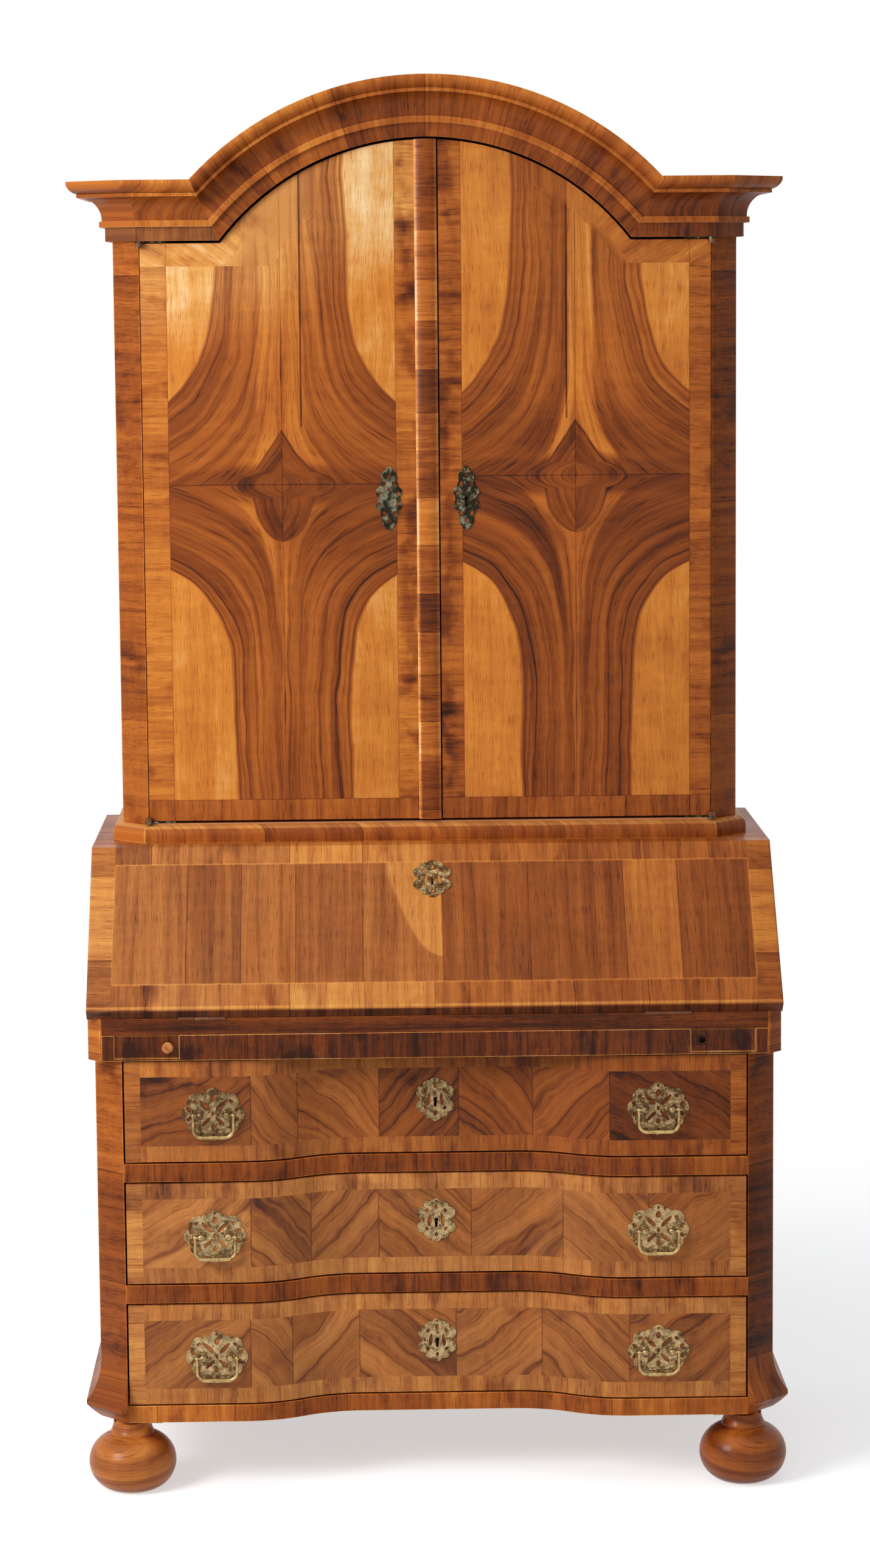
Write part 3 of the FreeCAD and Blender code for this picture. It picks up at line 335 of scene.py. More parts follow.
# doors: matched veneer with dark trumpet bands, pale lobes and an ogee figure at lock height
doorVeneer = {
    "left": {"centre": -0.229, "lock": 1.566, "field": (-0.407, -0.049), "seed": 2.0, "tone": 0.0,
             "bloom": 1.0, "gemTone": 0.61, "upTone": 0.46, "lowTone": 0.47, "sideTone": 0.31,
             "footTone": 0.36, "archRadius": 0.356, "headSoft": 0.030, "headFrom": (0.17, 0.29),
             "lowRest": (0.077, 0.102), "heartShift": -0.002, "highHeart": 0.032, "heartTone": 0.29,
             "seam": 0.031, "lowHeart": (0.062, 0.036, 0.066)},
    "right": {"centre": 0.234, "lock": 1.577, "field": (0.055, 0.414), "seed": 11.0, "tone": 0.06,
              "bloom": 0.15, "gemTone": 0.57, "upTone": 0.41, "lowTone": 0.51, "sideTone": 0.48,
              "footTone": 0.50, "archRadius": 0.378, "headSoft": 0.006, "headFrom": (0.16, 0.27),
              "lowRest": (0.085, 0.085), "heartShift": 0.007, "highHeart": 0.019, "heartTone": 0.12,
              "seam": -0.014, "lowHeart": (0.056, 0.050, 0.075)},
    "bottomBand": 1.066, "headBand": 1.908, "archLevel": 1.696, "skin": 0.012, "insideTone": 0.44,
    "lockTone": 0.07, "upper": (0.099, 0.079, 0.131, 0.066), "lower": (0.090, 0.138, 0.048), "sway": 0.022,
    "grime": 0.55, "edge": 0.0022, "rim": 0.0045, "lockDark": (0.11, 0.0, 0.09), "lockBand": (0.016, 0.036),
    "lowWedge": 0.004, "highWedge": (0.030, 0.045, 0.045), "heartEdge": 0.004, "heartFade": (0.022, 0.040),
    "heartCover": 0.85, "lowHeartTone": 0.34, "streaks": (0.24, 0.10), "leafEdge": (0.0021, 0.09),
    "seams": (0.0009, 0.0010), "borderLine": 0.001,
    "lineDepth": {"rim": 0.45, "seam": 0.5, "gem": 0.25, "trace": 0.30, "border": 0.4},
    "sidePieces": (0.15, 0.13, 0.15, 0.30), "footPieces": (0.16, 0.26), "headPieces": (0.14, 0.14, 0.15),
    "headTone": 0.32, "headRun": 0.38, "raggedScale": 22.0, "blotchNoise": (13.0, 3.0), "blotchRun": 1.5,
    "blotch": (0.44, 0.62), "blotchReach": (0.030, 0.056), "blotchTone": 0.30,
    "gem": {"foot": 0.012, "tall": 0.078, "mound": 0.054, "shield": 0.048, "arm": 0.081, "armRise": 0.025,
            "inset": 0.001, "edge": 0.0018, "rim": 0.003, "eye": (0.062, 0.003, 0.006, 0.020),
            "eyeTone": 0.12, "moundPower": 1.1, "rimTop": 0.98},
    "traces": ((0.80, 1.8), (0.56, 1.0), (0.90, 0.8)), "traceWidth": 0.026, "traceFade": (0.03, 0.07),
    "traceRun": (6.5, 1.2), "tracePower": 12.0, "traceSway": 0.10,
    "paleTones": (0.19, 0.165), "mottle": 0.36, "mottleNoise": (15.0, 3.0, 0.6),
    "bloomOut": (0.19, 0.33), "bloomUp": (1.76, 1.90), "bloomTone": 0.08,
}


def aroundArch(sheet, x, z):
    rise = z - doorVeneer["archLevel"]
    return sheet.span(x, rise), sheet.calc("ARCTAN2", x, rise)


# the ogee figure: a mound over a shield, with two arms
def doorGem(sheet, u, v):
    gem = doorVeneer["gem"]
    rise = abs(v)
    climb = sheet.calc("DIVIDE", rise - gem["foot"], gem["tall"], clamp=True)
    mound = gem["mound"] * sheet.calc("POWER", 1.0 - climb, gem["moundPower"])
    shield = gem["shield"] * sheet.calc("SQRT", 1.0 - climb * climb)
    flat = sheet.calc("DIVIDE", rise, gem["armRise"], clamp=True)
    arms = gem["arm"] * sheet.calc("SQRT", 1.0 - flat * flat)
    away = u - (sheet.most(sheet.choose(v > 0.0, shield, mound), arms) - gem["inset"])
    mask = 1.0 - sheet.edge(away, gem["edge"])
    rim = sheet.line(away, gem["rim"]) * (gem["rimTop"] > climb)
    eyeX, eyeZ, low, high = gem["eye"]
    eye = 1.0 - sheet.fade(sheet.span(u - eyeX, v - eyeZ), low, high)
    return away, mask, rim, eye * gem["eyeTone"]


# veneer of a door inside its borders; high is 1 above the lock
def doorField(sheet, values, x, y, z, front):
    shared, depth, seed = doorVeneer, doorVeneer["lineDepth"], values["seed"]
    dx, v = x - values["centre"], z - values["lock"]
    high, rise = v > 0.0, abs(v)
    sway = sheet.noise(sheet.vector(dx * 2.0, z, seed), 6.0) - 0.5
    u = abs(dx) + sway * shared["sway"]
    lowBound = sheet.flare(rise, sheet.choose(dx > 0.0, *values["lowRest"]), *shared["lower"])
    bound = sheet.choose(high, lowBound, sheet.flare(rise, *shared["upper"]))
    pale, share = sheet.edge(u - bound, shared["edge"]), u / bound
    wedge = sheet.choose(high, sheet.flare(rise, shared["lowWedge"], *values["lowHeart"]),
                         sheet.flare(rise, values["highHeart"], *shared["highWedge"]))
    beside = abs(dx - high * values["heartShift"]) + sway * shared["sway"]
    heart = (1.0 - sheet.edge(beside - wedge, shared["heartEdge"])) * sheet.fade(rise, *shared["heartFade"])
    away, gem, gemRim, eye = doorGem(sheet, u, v)
    bandTone = sheet.flare(rise, sheet.choose(high, values["lowTone"], values["upTone"]), *shared["lockDark"])
    bandTone += shared["lockTone"] * (1.0 - sheet.fade(rise, *shared["lockBand"]))
    runOut, runUp = shared["traceRun"]
    trace = sheet.noise(sheet.vector(share * runOut, v * runUp, seed + 31.0), 1.0, 1.0)
    trace = sheet.ridges(trace, shared["tracePower"])
    for part, weight in shared["traces"]:
        shift = share - part + sway * shared["traceSway"]
        trace = sheet.most(trace, sheet.line(shift, shared["traceWidth"]) * weight)
    trace *= (1.0 - pale) * sheet.fade(rise, *shared["traceFade"])
    mottle = sheet.noise(sheet.vector(x, z * 0.7, seed + 14.0), *shared["mottleNoise"]) - 0.5
    tone = sheet.choose(pale, bandTone, sheet.choose(high, *shared["paleTones"]) + mottle * shared["mottle"])
    heartTone = sheet.choose(high, shared["lowHeartTone"], values["heartTone"])
    tone = sheet.choose(heart * shared["heartCover"], tone, heartTone)
    tone = sheet.choose(gem, tone, values["gemTone"] + eye) + values["tone"]
    across = sheet.choose(gem, sheet.choose(pale, share * 0.13, u + 0.4), away)
    seam = sheet.most(*(sheet.line(gap, width) for gap, width in zip((dx, v), shared["seams"])))
    leafWidth, leafFrom = shared["leafEdge"]
    line = sheet.most(sheet.line(u - bound, shared["rim"]) * depth["rim"], seam * depth["seam"],
                      gemRim * depth["gem"], sheet.line(dx - values["seam"], leafWidth) * (v > leafFrom),
                      trace * depth["trace"])
    streak = sheet.choose(pale, *shared["streaks"])
    figure = leaf(across, v * 0.8, seed + (dx > 0.0) * 0.08, tone, streak, line)
    inside = leaf(x, z, seed + 50.0, shared["insideTone"])
    return blendFeeds(sheet, y > front + shared["skin"], figure, inside)


def doorFigure(sheet, x, y, z, name, values):
    shared, seed, soft = doorVeneer, values["seed"], values["headSoft"]
    lowX, highX = values["field"]

    # border pieces: length, spread of tones, depth of joints and stains
    def band(key, run, cross, shift, tone):
        length, spread, *marks = shared[key]
        return crossPieces(sheet, run, cross, length, seed + shift, tone, spread, *marks)

    sideBand = band("sidePieces", z, x, 1.7, values["sideTone"])
    blotch = sheet.noise(sheet.vector(x * shared["blotchRun"], z, seed + 8.0), *shared["blotchNoise"])
    blotch = sheet.fade(blotch, *shared["blotch"])
    sideBand["Tone"] += (1.0 - sheet.fade(abs(x), *shared["blotchReach"])) * blotch * shared["blotchTone"]
    footBand = band("footPieces", x, z, 4.3, values["footTone"])
    radius, turn = aroundArch(sheet, x, z)
    ragged = (sheet.noise(sheet.vector(x, z, seed), shared["raggedScale"]) - 0.5) * (soft * 2.0)
    head = (z > shared["headBand"]) * sheet.edge(radius + ragged - values["archRadius"], soft)
    head *= sheet.fade(abs(x), *values["headFrom"])
    headBand = band("headPieces", turn * shared["headRun"], radius, 6.1, shared["headTone"] + values["tone"])
    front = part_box(name)[0][1]
    feeds = doorField(sheet, values, x, y, z, front)
    feeds = blendFeeds(sheet, sheet.most(lowX > x, x > highX), feeds, sideBand)
    feeds = blendFeeds(sheet, shared["bottomBand"] > z, feeds, footBand)
    feeds = blendFeeds(sheet, head, feeds, headBand)
    gaps = (x - lowX, x - highX, z - shared["bottomBand"])
    border = sheet.most(*(sheet.line(gap, shared["borderLine"]) for gap in gaps))
    feeds["Line"] = sheet.most(feeds["Line"], border * shared["lineDepth"]["border"])
    # painted sheen towards the top of the arch, strong on the left door and faint on the right, partly old
    # polish bloom; it also makes the tone paler
    bloom = sheet.fade(radius, *shared["bloomOut"]) * sheet.fade(z, *shared["bloomUp"])
    feeds["Haze"] = bloom * values["bloom"]
    # darker eased edges: painted shade in the gaps round the door, with some grime
    feeds["Tone"] += sheet.wear() * shared["grime"] - feeds["Haze"] * shared["bloomTone"]
    return feeds


# fall: upright panels (start, tone) inside a cross-grain border; lobe is (seam, width, foot, height)
fallVeneer = {
    "half": 0.499, "top": 0.974, "bottom": 0.810, "lobe": (0.014, 0.085, 0.846, 0.11), "lobeTone": 0.24,
    "panels": [(-0.499, 0.49), (-0.385, 0.60), (-0.300, 0.48), (-0.215, 0.54), (-0.110, 0.46), (0.014, 0.60),
               (0.150, 0.60), (0.300, 0.36), (0.385, 0.60)],
    "hinge": (-0.280, 0.759), "slope": 47.3, "skin": 0.013, "insideTone": 0.46, "stringTone": 0.12,
    "under": (0.7715, 0.7755), "underTone": 0.84, "arris": (0.7785, 0.0032), "arrisTone": 0.20,
    "lobeEdge": 0.004, "haze": (-0.5, 0.3, 0.85, 0.20), "edgeBand": (0.11, 47.0, 0.43, 0.40),
    "endBand": (0.12, 41.0, 0.44, 0.34), "panelLine": 0.0011, "strings": (0.0018, 0.0016),
    "stringCover": 0.45, "arrisCover": 0.7, "arrisHaze": 0.6, "firstTone": 0.34, "panelSeed": 3.7,
    "streak": 0.20, "lineDepth": 0.4, "sway": 0.02,
}


def fallFigure(sheet, x, y, z):
    tone, shift, line = fallVeneer["firstTone"], 0.0, 0.0
    for number, (start, value) in enumerate(fallVeneer["panels"]):
        past = x > start
        tone = sheet.choose(past, tone, value)
        shift = sheet.choose(past, shift, number * fallVeneer["panelSeed"])
        line = sheet.most(line, sheet.line(x - start, fallVeneer["panelLine"]))
    seam, wide, foot, tall = fallVeneer["lobe"]
    sway = (sheet.noise(sheet.vector(x, z), 9.0) - 0.5) * fallVeneer["sway"]
    climb = sheet.calc("DIVIDE", z + sway - foot, tall, clamp=True)
    lobe = sheet.edge(seam - x - wide * sheet.calc("SQRT", climb), -fallVeneer["lobeEdge"])
    lobe *= (seam > x) * (climb > 0.0)
    tone = sheet.choose(lobe, tone, fallVeneer["lobeTone"])
    lean = math.radians(fallVeneer["slope"])
    hingeY, hingeZ = fallVeneer["hinge"]
    depth = (z - hingeZ) * math.cos(lean) - (y - hingeY) * math.sin(lean)
    outside = leaf(x, z, shift + 30.0, tone, fallVeneer["streak"], line * fallVeneer["lineDepth"])
    inside = leaf(z, x, 251.0, fallVeneer["insideTone"])
    feeds = blendFeeds(sheet, fallVeneer["skin"] > depth, outside, inside)
    edge = sheet.most(z > fallVeneer["top"], fallVeneer["bottom"] > z)
    ends = abs(x) > fallVeneer["half"]
    feeds = blendFeeds(sheet, edge, feeds, crossPieces(sheet, x, z, *fallVeneer["edgeBand"]))
    feeds = blendFeeds(sheet, ends, feeds, crossPieces(sheet, z, x, *fallVeneer["endBand"]))
    wideString, levelString = fallVeneer["strings"]
    upright = sheet.line(abs(x) - fallVeneer["half"], wideString) * (1.0 - edge)
    levels = [sheet.line(z - fallVeneer[key], levelString) for key in ("top", "bottom")]
    level = sheet.most(*levels) * (1.0 - ends)
    # a thin painted highlight along the lower arris of the fall
    height, width = fallVeneer["arris"]
    arris = sheet.line(z - height, width)
    # over the veneer: the stringing, painted shade on the face under the fall's lower edge, and the painted
    # arris highlight
    for mask, key in ((sheet.most(upright, level) * fallVeneer["stringCover"], "stringTone"),
                      (1.0 - sheet.fade(z, *fallVeneer["under"]), "underTone"),
                      (arris * fallVeneer["arrisCover"], "arrisTone")):
        feeds["Tone"] = sheet.choose(mask, feeds["Tone"], fallVeneer[key])
    # painted sheen, with some polish bloom, towards the left of the fall and on the painted arris highlight
    feeds["Haze"] = sheet.most(sheet.fade(x, *fallVeneer["haze"]), arris * fallVeneer["arrisHaze"])
    return feeds


# drawer fronts: matched leaves laid to zigzag, each (start, tone, slope), in a pale cross-grain border
drawerVeneer = {
    "drawer_1": {"panels": [(-0.46, 0.62, 0.15), (-0.287, 0.50, -1.1), (-0.215, 0.50, -0.75),
                            (-0.088, 0.66, 0.9), (0.036, 0.64, -0.9), (0.152, 0.58, 0.75),
                            (0.27, 0.80, -0.2)],
                 "haze": (0.50, 0.05), "seed": 60.0},
    "drawer_2": {"panels": [(-0.46, 0.45, 0.45), (-0.289, 0.53, -0.85), (-0.196, 0.53, 0.80),
                            (-0.09, 0.57, -0.65), (0.055, 0.55, 0.65), (0.198, 0.47, -0.80),
                            (0.33, 0.58, 0.60)],
                 "haze": (1.25, 0.70), "seed": 70.0},
    "drawer_3": {"panels": [(-0.46, 0.56, 0.50), (-0.292, 0.52, -0.90), (-0.227, 0.50, 0.75),
                            (-0.122, 0.52, -0.60), (0.03, 0.50, 0.60), (0.165, 0.54, -0.70),
                            (0.30, 0.60, 0.50)],
                 "haze": (1.05, 0.75), "seed": 80.0},
    "border": 0.025, "bow": 1.3, "sway": 0.066, "leafShift": 0.013, "lines": 21.0, "linePower": 28.0,
    "grime": 0.65, "panelLine": 0.0011, "knots": (0.56, 0.76), "bandTone": 0.12, "knotTone": 0.16,
    "streak": 0.12, "lineDepth": (0.56, 0.50), "edgeBand": (0.45, 0.20, 0.3, 0.26), "endBand": (0.44, 0.22),
    "hazeSpan": (-0.3, 0.4), "swayNoise": (9.0, 3.0), "knotNoise": (16.0, 3.0), "bandCut": (0.3, 0.7),
    "pieces": (0.12, 0.09),
}


def drawerFigure(sheet, x, y, z, name):
    values = drawerVeneer[name]
    low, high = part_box(name + "_front")
    seed, rim = values["seed"], drawerVeneer["border"]
    tone, line, slant = 0.5, 0.0, 0.0
    for number, (start, value, slope) in enumerate(values["panels"]):
        past, run = x > start, x - start
        climb = run * slope + run * run * math.copysign(drawerVeneer["bow"], slope)
        tone = sheet.choose(past, tone, value)
        slant = sheet.choose(past, slant, climb + drawerVeneer["leafShift"] * number)
        line = sheet.most(line, sheet.line(run, drawerVeneer["panelLine"]))
    sway = sheet.noise(sheet.vector(x, z, seed), *drawerVeneer["swayNoise"]) - 0.5
    across = z - low[2] - slant + sway * drawerVeneer["sway"]
    field = sheet.noise(sheet.vector(across * drawerVeneer["lines"], x * 0.8, seed), 1.0, 1.0)
    knots = sheet.noise(sheet.vector(x, z, seed + 6.0), *drawerVeneer["knotNoise"])
    knots = sheet.fade(knots, *drawerVeneer["knots"])
    bands = sheet.fade(field, *drawerVeneer["bandCut"]) - 0.5
    tone += bands * drawerVeneer["bandTone"] + knots * drawerVeneer["knotTone"]
    dark = sheet.ridges(field, drawerVeneer["linePower"])
    darkDepth, jointDepth = drawerVeneer["lineDepth"]
    line = sheet.most(dark * darkDepth, line * jointDepth)
    feeds = leaf(across, x, seed, tone, drawerVeneer["streak"], line)
    edge = sheet.most(z > high[2] - rim, low[2] + rim > z)
    edgePiece, endPiece = drawerVeneer["pieces"]
    edgeBand = crossPieces(sheet, x, z, edgePiece, seed + 5.0, *drawerVeneer["edgeBand"])
    feeds = blendFeeds(sheet, edge, feeds, edgeBand)
    ends = abs(x) > high[0] - rim
    endBand = crossPieces(sheet, z, x, endPiece, seed + 2.0, *drawerVeneer["endBand"])
    feeds = blendFeeds(sheet, ends, feeds, endBand)
    # painted sheen, with some polish bloom, stronger towards the left of the front
    feeds["Haze"] = sheet.fade(x, *drawerVeneer["hazeSpan"], *values["haze"])
    # darker eased edges: painted shade in the gaps round the drawer, with some grime
    feeds["Tone"] += sheet.wear() * drawerVeneer["grime"]
    return feeds


# outer sides: two matched upright leaves inside a cross-grain border, darker at the front on the right
sideVeneer = {"rim": 0.042, "arch": 0.10, "bandTone": -0.04, "bandSpread": 0.24, "shade": 0.20,
              "shadeDepth": 0.03, "streak": 0.28, "seam": 0.0009, "seamDepth": 0.5, "pieces": (0.13, 0.14)}


def sideFigure(sheet, x, y, z, name, tone, seed):
    low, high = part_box(name)
    rim, bandTone, spread = sideVeneer["rim"], tone + sideVeneer["bandTone"], sideVeneer["bandSpread"]
    fold = abs(y - (low[1] + high[1]) / 2)
    rise = z - low[2]
    seam = sheet.line(fold, sideVeneer["seam"]) * sideVeneer["seamDepth"]
    feeds = leaf(fold + rise * rise * sideVeneer["arch"], z, seed, tone, sideVeneer["streak"], seam)
    edgePiece, endPiece = sideVeneer["pieces"]
    edge = sheet.most(z > high[2] - rim, low[2] + rim > z)
    feeds = blendFeeds(sheet, edge, feeds, crossPieces(sheet, y, z, edgePiece, seed + 2.0, bandTone, spread))
    ends = fold > (high[1] - low[1]) / 2 - rim
    feeds = blendFeeds(sheet, ends, feeds, crossPieces(sheet, z, y, endPiece, seed + 4.0, bandTone, spread))
    feeds["Tone"] += (x > 0.0) * (low[1] + sideVeneer["shadeDepth"] > y) * sideVeneer["shade"]
    return feeds


# corner posts: length, seed, tone and spread of the pieces; the right posts are darker, below and above split
postVeneer = {"pieces": (0.17, 90.0, 0.50, 0.20), "rightTones": (0.20, 0.12), "split": 1.0}


def postGrain(sheet, x, y, z):
    feeds = crossPieces(sheet, z, abs(x) + y, *postVeneer["pieces"])
    feeds["Tone"] += (x > 0.0) * sheet.choose(z > postVeneer["split"], *postVeneer["rightTones"])
    return feeds


# frieze and lopers: dark, rubbed at the edges, stained round the empty knob hole
friezeVeneer = {"pieces": (0.14, 131.0, 0.80, 0.16), "rub": 0.40, "rubHaze": 0.5, "stain": 0.0085,
                "stainTone": 0.6, "holeInset": 0.017}


def friezeGrain(sheet, x, y, z):
    low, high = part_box("loper_right")
    feeds = crossPieces(sheet, x, z, *friezeVeneer["pieces"])
    rubAndHighlight = sheet.wear()
    away = sheet.most(abs(x - (low[0] + friezeVeneer["holeInset"])), abs(z - (low[2] + high[2]) / 2))
    stain = 1.0 - sheet.fade(away, friezeVeneer["stain"] * 0.8, friezeVeneer["stain"])
    feeds["Tone"] += stain * friezeVeneer["stainTone"] - rubAndHighlight * friezeVeneer["rub"]
    feeds["Haze"] = rubAndHighlight * friezeVeneer["rubHaze"]
    return feeds


# cornice: heights above its foot of the proud members, which catch the light
corniceVeneer = {"foot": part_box("cornice_runs")[0][2], "archFoot": 0.410,
                 "members": ((0.0215, 0.0315), (0.0675, 0.0735)), "crown": (0.072, 0.092, 0.3, 1.2),
                 "crownFoot": 0.073, "light": 0.24, "shade": (-0.2, 0.4, 0.02, 0.16),
                 "fascia": (1.972, 1.968), "bloomSpan": (0.2, -0.3), "bloomTone": 0.10, "bloomHaze": 1.8,
                 "runPieces": (0.14, 171.0, 0.56, 0.26), "archPieces": (0.13, 101.0, 0.62, 0.24),
                 "archRun": 0.45}


def proudLight(sheet, height):
    light = sheet.fade(height, *corniceVeneer["crown"]) * (height > corniceVeneer["crownFoot"])
    for low, high in corniceVeneer["members"]:
        light = sheet.most(light, (height > low) * (high > height))
    return light * corniceVeneer["light"]


# straight runs: painted glare on the left of the fascia, and painted shade darker to the right
def runGrain(sheet, x, y, z):
    feeds = crossGrain(sheet, x, y, z, *corniceVeneer["runPieces"])
    fasciaGlare = sheet.fade(x, *corniceVeneer["bloomSpan"]) * sheet.fade(z, *corniceVeneer["fascia"])
    feeds["Tone"] += sheet.fade(x, *corniceVeneer["shade"]) - proudLight(sheet, z - corniceVeneer["foot"])
    feeds["Tone"] += fasciaGlare * corniceVeneer["bloomTone"]
    feeds["Haze"] = fasciaGlare * corniceVeneer["bloomHaze"]
    return feeds


def archGrain(sheet, x, y, z):
    radius, turn = aroundArch(sheet, x, z)
    feeds = crossPieces(sheet, turn * corniceVeneer["archRun"], radius, *corniceVeneer["archPieces"])
    feeds["Tone"] -= proudLight(sheet, radius - corniceVeneer["archFoot"])
    return feeds


# pieces with one paler edge, a painted highlight
highlitEdges = {"base": {"pieces": (0.16, 181.0, 0.50, 0.26), "from": 0.007, "to": 0.004, "tone": 0.18,
                        "haze": 0.8},
               "astragal": {"pieces": (0.070, 111.0, 0.55, 0.58), "from": 0.0120, "to": 0.0155,
                            "tones": (0.40, 0.16), "haze": 0.5}}


def cabinetBaseGrain(sheet, x, y, z):
    values = highlitEdges["base"]
    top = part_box("cabinet_base_moulding")[1][2]
    feeds = crossGrain(sheet, x, y, z, *values["pieces"])
    # painted highlight along the top edge of the moulding
    rubAndHighlight = sheet.fade(z, top - values["from"], top - values["to"])
    feeds["Tone"] -= rubAndHighlight * values["tone"]
    feeds["Haze"] = rubAndHighlight * values["haze"]
    return feeds


def blockGrain(sheet, x, y, z):
    values = highlitEdges["astragal"]
    feeds = crossPieces(sheet, z, x, *values["pieces"])
    # painted highlight along both edges of the astragal, brighter on the left
    rubAndHighlight = sheet.fade(abs(x), values["from"], values["to"])
    feeds["Tone"] -= rubAndHighlight * sheet.choose(x > 0.0, *values["tones"])
    feeds["Haze"] = rubAndHighlight * values["haze"]
    return feeds


# bun feet: centre of each foot, turning marks per metre
footTurning = {"x": 0.470, "y": 0.205, "marks": 55.0, "markWidth": 0.05, "markDepth": 0.16, "tone": 0.37,
               "rightTone": 0.15, "streak": 0.34, "squeeze": (0.8, 0.6), "haze": (0.1, -0.1, 0.0, 0.25)}


def turnedGrain(sheet, x, y, z):
    side, deep = abs(x) - footTurning["x"], abs(y) - footTurning["y"]
    mark = sheet.line(sheet.calc("FRACT", z * footTurning["marks"]) - 0.5, footTurning["markWidth"])
    tone = footTurning["tone"] + (x > 0.0) * footTurning["rightTone"]
    out, along = footTurning["squeeze"]
    line = mark * footTurning["markDepth"]
    feeds = leaf(sheet.span(side, deep) * out + z, side * along, 121.0, tone, footTurning["streak"], line)
    # painted sheen, with some polish bloom, on the left feet
    feeds["Haze"] = sheet.fade(x, *footTurning["haze"])
    return feeds


# plain timber with its grain along x, or along y where deep
def lengthGrain(sheet, x, y, z, seed, tone, deep=False, haze=0.0):
    feeds = leaf(x + z, y, seed, tone) if deep else leaf(y + z, x, seed, tone)
    feeds["Haze"] = haze
    return feeds


# drawer linings: grain front to back, dovetails at the front end, darker bottom and painted shade in the
# corners
drawerLining = {"step": 0.193, "tails": 4, "lap": 0.016, "tail": 0.36, "slant": 6.0, "line": 0.035,
                "pinTone": 0.72, "board": 0.0124, "floor": 0.0152, "floorTone": 0.14, "corner": 0.07,
                "cornerTone": 0.30, "slack": 0.0006, "tone": 0.40, "skin": 0.0008, "lapLine": 0.0007,
                "below": 0.0004}


def liningGrain(sheet, x, y, z):
    values = drawerLining
    low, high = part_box("drawer_1_box")
    feeds = lengthGrain(sheet, x, y, z, 231.0, values["tone"], True)
    back = y - low[1]
    beat = abs(sheet.calc("FRACT", (z - low[2]) / (values["step"] / values["tails"])) - 0.5)
    half = values["tail"] - back * values["slant"]
    outer = abs(x) > high[0] - values["skin"]
    zone = (values["lap"] > back) * outer
    feeds["Line"] = sheet.most(sheet.line(beat - half, values["line"]) * zone,
                               sheet.line(back - values["lap"], values["lapLine"]) * outer)
    rise = sheet.calc("FRACT", (z - (low[2] - values["below"])) / values["step"]) * values["step"]
    wall, rear = high[0] - values["board"] - abs(x), high[1] - values["board"] - y
    inside = (wall > -values["slack"]) * (rear > -values["slack"])
    near = sheet.least(sheet.most(wall, rise - values["floor"]), rear)
    # painted shade in the inside corners of the box
    cornerShade = (1.0 - sheet.fade(near, 0.0, values["corner"])) * values["cornerTone"]
    floor = (values["floor"] > rise) * values["floorTone"]
    feeds["Tone"] = sheet.choose((beat > half) * zone, feeds["Tone"], values["pinTone"])
    feeds["Tone"] += inside * (cornerShade + floor)
    return feeds


# upright back boards with butt joints, knots and rows of old nails
planks = {"width": 0.172, "start": -0.02, "nailRows": (0.13, 0.42, 0.715, 0.985, 1.045, 1.36, 1.66, 1.94),
          "nail": 0.0036, "nailInset": 0.022, "nailSpread": 0.012, "joint": (0.0006, 0.0020),
          "knot": (0.02, 0.07), "knotRun": 1.6, "knotScale": 3.2, "knotBend": 0.01, "tone": 0.30,
          "lotTone": 0.26, "knotTone": 0.5, "nailTone": 0.6, "nailDepth": 0.5, "streak": 0.30}


def plankGrain(sheet, x, y, z):
    place = (x - planks["start"]) / planks["width"]
    number = sheet.calc("FLOOR", place)
    inside = (place - number) * planks["width"]
    rim = sheet.least(inside, planks["width"] - inside)
    joint = 1.0 - sheet.fade(rim, *planks["joint"])
    lot = sheet.chance(number, 3.0)
    nail = 0.0
    for row in planks["nailRows"]:
        away = sheet.span(rim - planks["nailInset"], z - (row + (lot - 0.5) * planks["nailSpread"]))
        nail = sheet.most(nail, 1.0 - sheet.fade(away, planks["nail"] * 0.8, planks["nail"]))
    knot = sheet.node("ShaderNodeTexVoronoi", inputs={
        "Vector": sheet.vector(x * planks["knotRun"], z, lot), "Scale": planks["knotScale"]})
    eye = 1.0 - sheet.fade(knot.outputs["Distance"], *planks["knot"])
    tone = planks["tone"] + lot * planks["lotTone"] + eye * planks["knotTone"] + nail * planks["nailTone"]
    line = sheet.most(joint, nail * planks["nailDepth"])
    return leaf(x - eye * planks["knotBend"], z, lot * 30.0, tone, planks["streak"], line)


# old brass: bright where rubbed, brown and a little green in the hollows, duller above tarnishLevel
patina = {"cloud": (90.0, 4.0, 0.6), "speck": (300.0, 2.0, 0.5), "chasing": 150.0, "hollow": (0.25, 0.75),
          "soft": 0.16, "green": (0.58, 0.78), "tarnishLevel": 0.53, "rough": (0.26, 0.50), "bump": 0.6,
          "relief": 0.0008, "speckShare": 0.25, "greenShare": 0.35, "cloudRise": 0.5, "hollowDip": 2.0}


